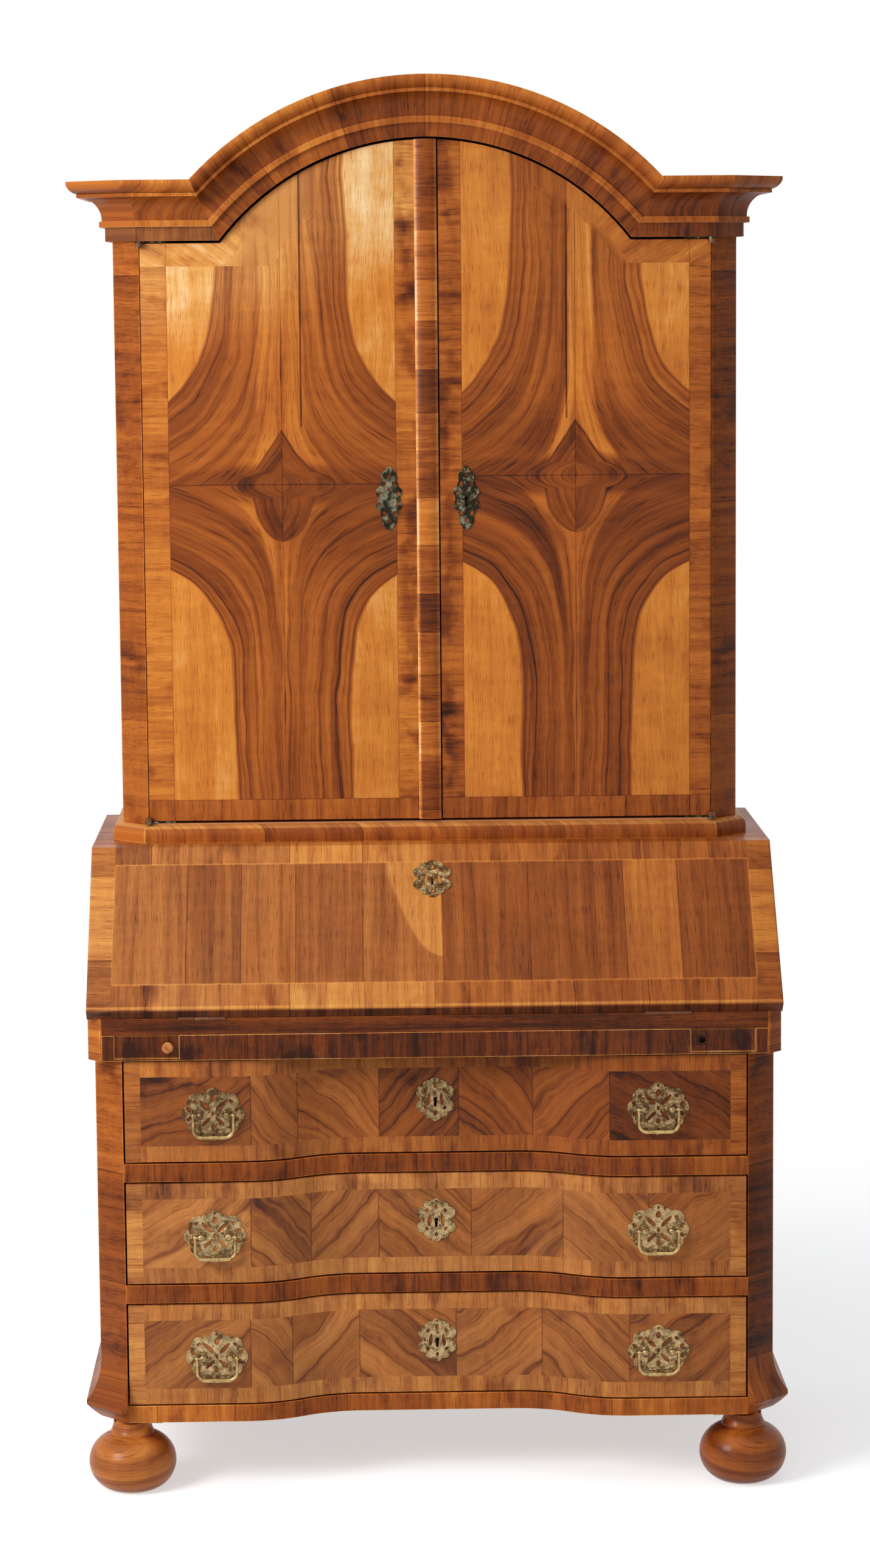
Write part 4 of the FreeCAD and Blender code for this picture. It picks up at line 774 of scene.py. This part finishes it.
def brassMaterial(name, bright, dull, green, wear, chased, metal=1.0, tarnish=0.0):
    material = bpy.data.materials.new(name)
    sheet = newSheet(material)
    spot = sheet.spot()
    cloud, speck = sheet.noise(spot, *patina["cloud"]), sheet.noise(spot, *patina["speck"])
    cell = sheet.node("ShaderNodeTexVoronoi", {"feature": "SMOOTH_F1"},
                      {"Vector": spot, "Scale": patina["chasing"], "Smoothness": 0.5})
    hollow = sheet.fade(cell.outputs["Distance"], *patina["hollow"]) * chased
    age = sheet.fade(cloud + speck * patina["speckShare"], wear - patina["soft"], wear + patina["soft"])
    age = sheet.most(age, hollow) + (sheet.place()[2] > patina["tarnishLevel"]) * tarnish
    age = sheet.least(age, 1.0)
    colour = sheet.tint(age, srgb(*bright), srgb(*dull))
    greened = sheet.fade(speck, *patina["green"]) * patina["greenShare"]
    colour = sheet.tint(greened, colour, srgb(*green))
    height = cloud * patina["cloudRise"] - hollow * patina["hollowDip"]
    bump = sheet.node("ShaderNodeBump", inputs={
        "Strength": patina["bump"], "Distance": patina["relief"], "Height": height})
    shader = sheet.node("ShaderNodeBsdfPrincipled", inputs={
        "Base Color": colour, "Metallic": metal, "Roughness": sheet.choose(age, *patina["rough"]),
        "Normal": bump.outputs["Normal"]})
    sheet.node("ShaderNodeOutputMaterial", inputs={"Surface": shader.outputs[0]})
    return material


# timber finishes: material, figure and the figure's values, which are piece, tone and seed for a side;
# length, seed, tone and spread for cross grain; seed, tone, front to back and bloom with painted sheen for
# plain timber
woods = {
    "doorLeft": ("doorLeftVeneer", doorFigure, "door_left", doorVeneer["left"]),
    "doorRight": ("doorRightVeneer", doorFigure, "door_right", doorVeneer["right"]),
    "fall": ("fallVeneer", fallFigure),
    "commodeSide": ("commodeSideVeneer", sideFigure, "commode_side_left", 0.54, 5.0),
    "deskSide": ("deskSideVeneer", sideFigure, "desk_side_left", 0.52, 8.0),
    "cabinetSide": ("cabinetSideVeneer", sideFigure, "cabinet_side_left", 0.50, 12.0),
    "post": ("postVeneer", postGrain), "frieze": ("friezeCrossGrain", friezeGrain),
    "divider": ("dividerCrossGrain", crossGrain, 0.12, 141.0, 0.62, 0.22),
    "rail": ("baseRailCrossGrain", crossGrain, 0.12, 151.0, 0.46, 0.28),
    "base": ("baseMouldingGrain", crossGrain, 0.12, 161.0, 0.58, 0.24),
    "cornice": ("corniceCrossGrain", runGrain), "arch": ("corniceArchGrain", archGrain),
    "astragal": ("astragalBlocks", blockGrain), "cabinetBase": ("cabinetBaseGrain", cabinetBaseGrain),
    "turned": ("turnedWalnut", turnedGrain), "knob": ("knobWood", lengthGrain, 241.0, 0.44, True, 1.0),
    "deskTop": ("deskTopWalnut", lengthGrain, 201.0, 0.50),
    "board": ("writingBoardWalnut", lengthGrain, 205.0, 0.78),
    "inner": ("innerWalnut", lengthGrain, 211.0, 0.46), "pine": ("plainPine", lengthGrain, 221.0, 0.42),
    "pineDeep": ("drawerPine", liningGrain), "pineRunner": ("runnerPine", lengthGrain, 235.0, 0.48, True),
    "planks": ("backPlanks", plankGrain),
}
coats = {"fall": 0.0, "post": 0.0, "turned": 0.2, "knob": 0.2}
pines = ("pine", "pineDeep", "pineRunner", "planks")
# bright, dull and greened colour, where wear starts, depth of chasing, metal, tarnish
finishes = {
    "brass": brassMaterial("wornBrass", (190, 162, 116), (90, 66, 42), (80, 74, 56), 0.66, 0.50, 1.0, 0.25),
    "bail": brassMaterial("handledBrass", (186, 158, 106), (132, 104, 64), (104, 92, 62), 0.68, 0.0),
    "darkBrass": brassMaterial("greenedBrass", (146, 140, 114), (40, 38, 29), (72, 84, 69), 0.55, 0.55),
    "hinge": brassMaterial("brownHinge", (150, 92, 54), (104, 58, 32), (84, 50, 30), 0.50, 0.0, 0.3),
}
for name in ("drawer_1", "drawer_2", "drawer_3"):
    woods[name] = (name + "Veneer", drawerFigure, name)
for name, row in woods.items():
    raw = name in pines
    coat = 0.0 if raw else coats.get(name, polish["coat"])
    finishes[name] = woodMaterial(*row, group=pine if raw else walnut, coat=coat)
print("finishes made:", len(finishes))

# timber pieces: the CAD solid with eased edges, marked for wear; finish and width of the easing
eased = {
    "door_left": ("doorLeft", 0.0009), "door_right": ("doorRight", 0.0009), "fall_panel": ("fall", 0.0008),
    "commode_side_left": ("commodeSide", 0.0008), "commode_side_right": ("commodeSide", 0.0008),
    "desk_side_left": ("deskSide", 0.0010), "desk_side_right": ("deskSide", 0.0010),
    "cabinet_side_left": ("cabinetSide", 0.0008), "cabinet_side_right": ("cabinetSide", 0.0008),
    "commode_posts": ("post", 0.0014), "cabinet_posts": ("post", 0.0014),
    "frieze_rail": ("frieze", 0.0008), "drawer_dividers": ("divider", 0.0010), "base_frame": ("rail", 0.0010),
    "base_moulding_left": ("base", 0.0010), "base_moulding_right": ("base", 0.0010),
    "cornice_runs": ("cornice", 0.0013), "cornice_arch": ("arch", 0.0013), "astragal": ("astragal", 0.0006),
    "cabinet_base_moulding": ("cabinetBase", 0.0012), "desk_top": ("deskTop", 0.0010),
    "writing_board": ("board", 0.0008), "loper_left": ("frieze", 0.0008), "loper_right": ("frieze", 0.0008),
    "drawer_1_front": ("drawer_1", 0.0010), "drawer_2_front": ("drawer_2", 0.0010),
    "drawer_3_front": ("drawer_3", 0.0010), "pediment_board": ("pine", 0.0008),
}
plain = {
    "bun_feet": "turned", "loper_knob": "knob", "pigeonholes": "inner", "small_drawer_1": "inner",
    "small_drawer_2": "inner", "small_drawer_3": "inner", "cabinet_bottom": "pine", "cabinet_shelves": "pine",
    "commode_bottom": "pine", "commode_top": "pine", "drawer_guides": "pineRunner",
    "loper_channels": "pineRunner", "drawer_1_box": "pineDeep", "drawer_2_box": "pineDeep",
    "drawer_3_box": "pineDeep", "cabinet_roof": "planks", "back_boards": "planks", "cabinet_back": "planks",
    "case_pivots": "darkBrass", "writing_board_hinges": "hinge",
}
# angles in degrees: what counts as flat, what is sharp enough to ease, and where shading breaks
easing = {"weld": 0.00001, "flat": 0.1, "sharp": 32.0, "steps": 2, "profile": 0.6,
          "smooth": {"wood": 28.0, "plate": 35.0, "bail": 40.0}}


def foldOver(edge, limit):
    return edge.is_manifold and edge.calc_face_angle(0.0) > math.radians(limit)


def markSmooth(shape, kind):
    for face in shape.faces:
        face.smooth = True
    for edge in shape.edges:
        edge.smooth = not foldOver(edge, easing["smooth"][kind])


def meshFrom(shape, name, *kinds):
    mesh = bpy.data.meshes.new(name)
    shape.to_mesh(mesh)
    shape.free()
    for kind in kinds:
        mesh.materials.append(finishes[kind])
    return mesh


# a welded copy of a CAD node, to edit
def solidOf(name):
    shape = bmesh.new()
    shape.from_mesh(nodes[name].data)
    bmesh.ops.remove_doubles(shape, verts=shape.verts[:], dist=easing["weld"])
    return shape


def standFor(piece, name):
    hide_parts(name)
    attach(piece, bodyOf[name])


def easedCopy(name, finish, width):
    shape = solidOf(name)
    wear = shape.faces.layers.float.new("wear")
    flat = math.radians(easing["flat"])
    bmesh.ops.dissolve_limit(shape, angle_limit=flat, verts=shape.verts[:], edges=shape.edges[:])
    sharp = [edge for edge in shape.edges if foldOver(edge, easing["sharp"])]
    made = bmesh.ops.bevel(shape, geom=sharp, offset=width, offset_type="OFFSET", affect="EDGES",
                           segments=easing["steps"], profile=easing["profile"], clamp_overlap=True)
    for face in made["faces"]:
        face[wear] = 1.0
    markSmooth(shape, "wood")
    standFor(linkObject(name + "_wood", meshFrom(shape, name + "_wood", finish)), name)


for name, (finish, width) in eased.items():
    easedCopy(name, finish, width)
for name, finish in plain.items():
    nodes[name].data.materials.clear()
    nodes[name].data.materials.append(finishes[finish])
print("timber pieces made:", len(eased))


# each row (x, z, size, lean), followed by its mirror image if it is off the middle line
def mirrored(rows):
    full = []
    for x, z, size, *lean in rows:
        full.append((x, z, size, *lean))
        if x:
            full.append((-x, z, size, *(-value for value in lean)))
    return full


# pierced brass plates in millimetres, scaled by their unit: discs (x, z, radius) joined into an outline,
# holes and slim slots (x, z, radius, lean); bails, posts and places in metres
brassware = {
    "pull": {"unit": 1.15, "centre": (0, 2), "bead": 1.5, "beadStep": 4.1, "beadInset": 2.6, "slim": 0.36,
             "discs": mirrored([(0, 2, 25), (28, 0, 14), (23, 16, 12), (22, -15, 12), (11, -25, 9),
                                (0, 27, 9), (11, 22, 8), (0, -30, 7)]),
             "holes": mirrored([(25, 17, 2.6, 0.9), (32, 6, 3.2, -0.6), (32, -7, 3.0, 0.6),
                                (25, -17, 2.8, 0.5), (0, 21, 4.0, 0.0), (0, 31, 1.8, 0.0), (0, -18, 3.4, 0.0),
                                (0, -29, 2.0, 0.0), (0, 0, 2.6, 0.0)]),
             "slots": mirrored([(10, 11, 8.0, -0.785), (10, -11, 7.0, 0.785)])},
    "key": {"unit": 1.04, "centre": (0, 0), "bead": 1.2, "beadStep": 3.4, "beadInset": 2.0, "slim": 0.34,
            "discs": mirrored([(0, 0, 22), (0, 25, 8), (0, -26, 8), (20, 11, 9), (20, -11, 9), (10, 20, 9),
                               (10, -20, 9)]),
            "holes": mirrored([(20, 0, 2.8, 0.0), (0, 20, 3.2, 0.0), (0, -23, 2.8, 0.0), (14, 14, 2.8, 0.7),
                               (14, -14, 2.8, -0.7), (0, 29, 1.5, 0.0)]),
            "slots": mirrored([(10, -2, 8.0, 0.12)])},
    "door": {"unit": 1.04, "centre": (0, 0), "bead": 1.2, "beadStep": 3.6, "beadInset": 2.0,
             "discs": mirrored([(0, 33, 12), (0, 18, 14), (0, 0, 17), (0, -18, 14), (0, -33, 11), (0, -42, 6),
                                (0, 44, 5), (12, 10, 8), (12, -10, 8)]),
             "holes": mirrored([(8, 22, 3.8, 0.5), (0, 34, 3.4, 0.0), (0, 43, 1.6, 0.0), (8, -22, 3.6, 2.6),
                                (0, -33, 3.2, 0.0), (14, 8, 2.8, 0.5), (14, -8, 2.8, -0.5),
                                (0, 14, 2.6, 0.0)]),
             "slots": []},
    "plate": {"thick": 1.0, "edge": 0.45, "steps": 220, "beadSteps": 160, "beadDetail": 2},
    "hole": {"steps": 20, "slim": 0.86, "stretch": 0.38},
    "keyhole": {"radius": 3.0, "slot": 3.3, "length": 12.0, "steps": 18},
    "bail": {"half": 0.031, "drop": 0.035, "bend": 0.013, "leg": 0.008, "wire": 0.0024, "swell": 0.0011,
             "taper": 0.4, "barPoint": 0.3, "bendSteps": 8, "sides": 14, "standOff": 0.013,
             "ball": {"radius": 0.0037, "around": 16, "high": 10},
             "pin": {"radius": 0.0022, "length": 0.0155, "inset": 0.0078, "sides": 12}},
    "post": {"spread": 0.021, "sunk": 0.002, "sides": 20,
             "profile": [(0.0072, 0.0), (0.0072, 0.0014), (0.0046, 0.0026), (0.0040, 0.0075),
                         (0.0054, 0.0092), (0.0056, 0.0128), (0.0034, 0.0146), (0.0, 0.0150)]},
    "pullSpread": 0.345, "pullRise": -0.004, "keyRise": 0.005, "caseFront": -0.272, "hollowFront": -0.222,
    "doorSpread": 0.061, "doorLevel": 1.542,
    "fall": {"thick": 0.026, "rise": 0.240, "lockDrop": 0.066},
    # CAD solids thinner or narrower than these are plates and posts, which are made anew
    "thin": 0.0026, "narrow": 0.012, "fallPlate": 0.06, "fallMiddle": 0.01,
}
millimetre = 0.001
quarterTurn = Matrix.Rotation(math.pi / 2, 4, "X")


def turns(count):
    return [2 * math.pi * step / count for step in range(count)]


# how far the joined discs reach from the centre, one point per step round it
def discOutline(values, steps, inset=0.0):
    unit = values["unit"] * millimetre
    cx, cz = values["centre"]
    points = []
    for angle in turns(steps):
        dx, dz = math.cos(angle), math.sin(angle)
        reach = 0.0
        for x, z, radius in values["discs"]:
            ahead = (x - cx) * dx + (z - cz) * dz
            offSide = (x - cx) ** 2 + (z - cz) ** 2 - ahead ** 2
            if radius ** 2 > offSide:
                reach = max(reach, ahead + math.sqrt(radius ** 2 - offSide))
        reach -= inset / values["unit"]
        points.append(((cx + reach * dx) * unit, (cz + reach * dz) * unit))
    return points


# drop-shaped piercing that leans by an angle
def dropHole(hole, unit, slim):
    x, z, radius, lean = hole
    points = []
    for angle in turns(brassware["hole"]["steps"]):
        stretch = 1.0 + brassware["hole"]["stretch"] * max(0.0, math.sin(angle)) ** 3
        px, pz = radius * slim * math.cos(angle), radius * stretch * math.sin(angle)
        points.append(((x + px * math.cos(lean) - pz * math.sin(lean)) * unit,
                       (z + px * math.sin(lean) + pz * math.cos(lean)) * unit))
    return points


def keyOutline():
    values = brassware["keyhole"]
    radius, half, length, count = values["radius"], values["slot"] / 2, values["length"], values["steps"]
    start = -math.asin(half / radius)
    points = [(half, -length), (-half, -length)]
    for step in range(count + 1):
        angle = math.pi - start - (math.pi - 2 * start) * step / count
        points.append((radius * math.cos(angle), radius * math.sin(angle)))
    return [(x * millimetre, z * millimetre) for x, z in points]


# the mesh that a curve or a node tree makes of its holder, which is then removed
def bakedMesh(holder):
    bpy.context.view_layer.update()
    mesh = bpy.data.meshes.new_from_object(holder.evaluated_get(bpy.context.evaluated_depsgraph_get()))
    bpy.data.objects.remove(holder)
    return mesh


def plateMesh(kind, keyed):
    values, plate = brassware[kind], brassware["plate"]
    unit, edge = values["unit"] * millimetre, plate["edge"] * millimetre
    halfThick = plate["thick"] * millimetre / 2
    loops = [discOutline(values, plate["steps"])]
    loops += [dropHole(hole, unit, brassware["hole"]["slim"]) for hole in values["holes"]]
    loops += [dropHole(hole, unit, values["slim"]) for hole in values["slots"]]
    if keyed:
        loops.append(keyOutline())
    curve = bpy.data.curves.new(kind + "Plate", "CURVE")
    curve.dimensions = "2D"
    curve.fill_mode = "BOTH"
    curve.extrude = halfThick
    curve.bevel_depth = edge
    curve.bevel_resolution = 1
    curve.offset = -edge
    for loop in loops:
        spline = curve.splines.new("POLY")
        spline.points.add(len(loop) - 1)
        spline.use_cyclic_u = True
        for point, (x, z) in zip(spline.points, loop):
            point.co = (x, z, 0.0, 1.0)
    mesh = bakedMesh(linkObject(kind + "Plate", curve))
    bpy.data.curves.remove(curve)
    mesh.transform(Matrix.Translation((0, -halfThick - edge, 0)) @ quarterTurn)
    return mesh


# a skin over rings of equal count; a ring of one point closes it
def joinRings(shape, rings):
    for low, high in zip(rings, rings[1:]):
        for step in range(len(low)):
            after = (step + 1) % len(low)
            shape.faces.new((low[step], low[after], *(high if len(high) == 1 else (high[after], high[step]))))


def latheInto(shape, profile, place, sides):
    rings = []
    for radius, height in profile:
        angles = turns(sides) if radius else [0.0]
        ring = [Vector((radius * math.cos(angle), radius * math.sin(angle), height)) for angle in angles]
        rings.append([shape.verts.new(place @ point) for point in ring])
    joinRings(shape, rings)


# bent wire with a swelling in the middle of the bar, a ball and a pin at each end
def bailMesh(name, centre):
    values = brassware["bail"]
    half, drop, bend, steps = values["half"], values["drop"], values["bend"], values["bendSteps"]
    ball, pin = values["ball"], values["pin"]
    path = [(-half, 0.0), (-half, -values["leg"]), (-half, bend - drop)]
    for step in range(1, steps + 1):
        angle = math.pi + step * math.pi / 2 / steps
        path.append((bend - half + bend * math.cos(angle), bend - drop + bend * math.sin(angle)))
    path += [(-half * values["barPoint"], -drop), (0.0, -drop)]
    path += [(-x, z) for x, z in reversed(path[:-1])]
    shape = bmesh.new()
    rings = []
    for number, (x, z) in enumerate(path):
        before, after = path[max(number - 1, 0)], path[min(number + 1, len(path) - 1)]
        ahead = Vector((after[0] - before[0], 0, after[1] - before[1])).normalized()
        side = ahead.cross(Vector((0, 1, 0)))
        level = max(0.0, -z / drop)
        radius = values["wire"] + values["swell"] * level ** 2 * (1.0 - values["taper"] * abs(x) / half)
        ring = [Vector((x, radius * math.sin(angle), z)) + side * radius * math.cos(angle)
                for angle in turns(values["sides"])]
        rings.append([shape.verts.new(point) for point in ring])
    joinRings(shape, rings)
    shape.faces.new(rings[0])
    shape.faces.new(list(reversed(rings[-1])))
    for side in (-1, 1):
        spot = Matrix.Translation((side * half, 0, 0))
        bmesh.ops.create_uvsphere(shape, u_segments=ball["around"], v_segments=ball["high"],
                                  radius=ball["radius"], matrix=spot)
        spot = Matrix.Translation((side * (half - pin["inset"]), 0, 0)) @ Matrix.Rotation(math.pi / 2, 4, "Y")
        bmesh.ops.create_cone(shape, cap_ends=True, segments=pin["sides"], radius1=pin["radius"],
                              radius2=pin["radius"], depth=pin["length"], matrix=spot)
    bmesh.ops.recalc_face_normals(shape, faces=shape.faces[:])
    markSmooth(shape, "bail")
    bmesh.ops.translate(shape, verts=shape.verts[:], vec=centre)
    return meshFrom(shape, name, "bail")


# the solids of a CAD brass node that stay as they are
def keptParts(name, drop):
    shape = solidOf(name)
    seen, doomed = set(), []
    for start in shape.verts:
        if start in seen:
            continue
        seen.add(start)
        island = [start]
        for vert in island:
            for edge in vert.link_edges:
                other = edge.other_vert(vert)
                if other not in seen:
                    seen.add(other)
                    island.append(other)
        low = Vector([min(vert.co[axis] for vert in island) for axis in range(3)])
        high = Vector([max(vert.co[axis] for vert in island) for axis in range(3)])
        if drop(low, high):
            doomed += island
    bmesh.ops.delete(shape, geom=doomed, context="VERTS")
    for face in shape.faces:
        face.material_index = 1
    return shape


# lays a plate into the shape and gives the line of its rim beads
def addPlate(shape, kind, keyed, place):
    mesh = plateMesh(kind, keyed)
    mesh.transform(place)
    shape.from_mesh(mesh)
    bpy.data.meshes.remove(mesh)
    values, plate = brassware[kind], brassware["plate"]
    front = -(plate["thick"] + plate["edge"] * 2) * millimetre
    rim = discOutline(values, plate["beadSteps"], values["beadInset"])
    return [place @ Vector((x, front, z)) for x, z in rim]


# beads along the rims of a body's plates, laid by a geometry node tree
def beadTree():
    tree = bpy.data.node_groups.new("rimBeads", "GeometryNodeTree")
    tree.interface.new_socket(name="Geometry", in_out="INPUT", socket_type="NodeSocketGeometry")
    keys = [tree.interface.new_socket(name=label, in_out="INPUT", socket_type="NodeSocket" + kind).identifier
            for label, kind in (("Step", "Float"), ("Radius", "Float"), ("Material", "Material"))]
    tree.interface.new_socket(name="Geometry", in_out="OUTPUT", socket_type="NodeSocketGeometry")
    sheet = Sheet(tree)
    given = sheet.node("NodeGroupInput").outputs
    ball = sheet.node("GeometryNodeMeshIcoSphere", inputs={
        "Radius": given["Radius"], "Subdivisions": brassware["plate"]["beadDetail"]})
    flow = given["Geometry"]
    for kind, entry, settings, inputs in (
            ("MeshToCurve", "Mesh", {}, {}),
            ("ResampleCurve", "Curve", {"mode": "LENGTH"}, {"Length": given["Step"]}),
            ("InstanceOnPoints", "Points", {}, {"Instance": ball.outputs[0]}),
            ("RealizeInstances", "Geometry", {}, {}),
            ("SetShadeSmooth", "Geometry", {}, {}),
            ("SetMaterial", "Geometry", {}, {"Material": given["Material"]})):
        flow = sheet.node("GeometryNode" + kind, settings, {entry: flow, **inputs}).outputs[0]
    sheet.node("NodeGroupOutput", inputs={"Geometry": flow})
    return tree, keys


rimTree, rimKeys = beadTree()


def layBeads(name, loops, kind, finish):
    points, edges = [], []
    for loop in loops:
        start, count = len(points), len(loop)
        points += [tuple(point) for point in loop]
        edges += [(start + step, start + (step + 1) % count) for step in range(count)]
    path = bpy.data.meshes.new(name + "Path")
    path.from_pydata(points, edges, [])
    holder = linkObject(name + "Path", path)
    modifier = holder.modifiers.new("beads", "NODES")
    modifier.node_group = rimTree
    values = brassware[kind]
    sizes = [values[key] * millimetre for key in ("beadStep", "bead")]
    for key, value in zip(rimKeys, (*sizes, finishes[finish])):
        modifier[key] = value
    mesh = bakedMesh(holder)
    mesh.name = name
    return linkObject(name, mesh)


# kind is the plate whose beads the piece has
def brassPiece(name, shape, loops, kind, finish):
    markSmooth(shape, "plate")
    standFor(linkObject(name + "_metal", meshFrom(shape, name + "_metal", finish, "hinge")), name)
    beads = layBeads(name + "_beads", loops, kind, finish)
    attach(beads, bodyOf[name])


def drawerBrasses(number):
    name = "drawer_%d" % number
    low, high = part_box(name + "_front")
    middle = (low[2] + high[2]) / 2
    front, level, post = brassware["caseFront"], middle + brassware["pullRise"], brassware["post"]
    shape = keptParts(name + "_brasses", lambda a, b: (b.y - a.y < brassware["thin"]
                                                       or b.x - a.x < brassware["narrow"]))
    loops = []
    for side, label in ((-1, "left"), (1, "right")):
        x = side * brassware["pullSpread"]
        loops.append(addPlate(shape, "pull", False, Matrix.Translation((x, front, level))))
        for end in (-1, 1):
            spot = Matrix.Translation((x + end * post["spread"], front - post["sunk"], level))
            latheInto(shape, post["profile"], spot @ quarterTurn, post["sides"])
        bailNode = "%s_bail_%s" % (name, label)
        centre = Vector((x, front - brassware["bail"]["standOff"], level))
        standFor(linkObject(bailNode + "_metal", bailMesh(bailNode + "_metal", centre)), bailNode)
    place = Matrix.Translation((0, brassware["hollowFront"], middle + brassware["keyRise"]))
    loops.append(addPlate(shape, "key", True, place))
    brassPiece(name + "_brasses", shape, loops, "pull", "brass")


def fallBrasses():
    values = brassware["fall"]
    slope = math.radians(fallVeneer["slope"])
    along = Vector((0, math.cos(slope), math.sin(slope)))
    outward = Vector((0, -math.sin(slope), math.cos(slope)))
    reach = (values["rise"] - values["thick"] * math.cos(slope)) / math.sin(slope) - values["lockDrop"]
    keyPoint = Vector((0, *fallVeneer["hinge"])) + outward * values["thick"] + along * reach
    place = Matrix.Translation(keyPoint) @ Matrix.Rotation(slope - math.pi / 2, 4, "X")
    shape = keptParts("fall_brasses", lambda a, b: (b.x - a.x < brassware["fallPlate"]
                                                    and abs(a.x + b.x) < brassware["fallMiddle"]))
    brassPiece("fall_brasses", shape, [addPlate(shape, "key", True, place)], "key", "brass")


def doorBrasses(side, label):
    name = "door_%s_brasses" % label
    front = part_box("door_" + label)[0][1]
    place = Matrix.Translation((side * brassware["doorSpread"], front, brassware["doorLevel"]))
    shape = keptParts(name, lambda a, b: b.y - a.y < brassware["thin"])
    brassPiece(name, shape, [addPlate(shape, "door", side > 0, place)], "door", "darkBrass")


for number in (1, 2, 3):
    drawerBrasses(number)
fallBrasses()
doorBrasses(-1, "left")
doorBrasses(1, "right")
print("brassware made")


# 1 for the rays that see the set as white as the photo's background
def seenRays(sheet):
    path = sheet.node("ShaderNodeLightPath")
    kinds = ("Camera", "Transmission", "Glossy")
    return sheet.most(*(sheet.wire(path, "Is %s Ray" % kind) for kind in kinds))


def makeFloor():
    lowX, lowY, highX, highY = studio["floor"]
    mesh = bpy.data.meshes.new("floor")
    corners = [(lowX, lowY, 0), (highX, lowY, 0), (highX, highY, 0), (lowX, highY, 0)]
    mesh.from_pydata(corners, [], [(0, 1, 2, 3)])
    material = bpy.data.materials.new("paleFloor")
    sheet = newSheet(material)
    x, y = sheet.place()[:2]
    far = sheet.fade(sheet.span(x, y), *studio["floorFade"])
    seen = seenRays(sheet)
    matt = sheet.node("ShaderNodeBsdfDiffuse", inputs={"Color": (*studio["floorTone"], 1.0)})
    lift = seen * studio["floorLift"]
    near = sheet.node("ShaderNodeEmission", inputs={"Color": (1, 1, 1, 1), "Strength": lift})
    lit = sheet.node("ShaderNodeAddShader", inputs={0: matt.outputs[0], 1: near.outputs[0]})
    white = sheet.node("ShaderNodeEmission", inputs={"Color": (1, 1, 1, 1), "Strength": 1.0})
    both = sheet.node("ShaderNodeMixShader", inputs={0: far * seen, 1: lit.outputs[0], 2: white.outputs[0]})
    sheet.node("ShaderNodeOutputMaterial", inputs={"Surface": both.outputs[0]})
    mesh.materials.append(material)
    linkObject("floor", mesh)


def makeWorld():
    world = bpy.data.worlds.new("studioWorld")
    bpy.context.scene.world = world
    sheet = newSheet(world)
    level = sheet.choose(seenRays(sheet), studio["worldStrength"], 1.0)
    back = sheet.node("ShaderNodeBackground", inputs={"Color": (1, 1, 1, 1), "Strength": level})
    sheet.node("ShaderNodeOutputWorld", inputs={"Surface": back.outputs[0]})


makeFloor()
makeWorld()
for name in ("key", "fill", "top"):
    addLamp(name + "Lamp", studio[name])
placeCamera(camera)
bpy.context.scene.view_settings.view_transform = "Standard"
print("stage set")
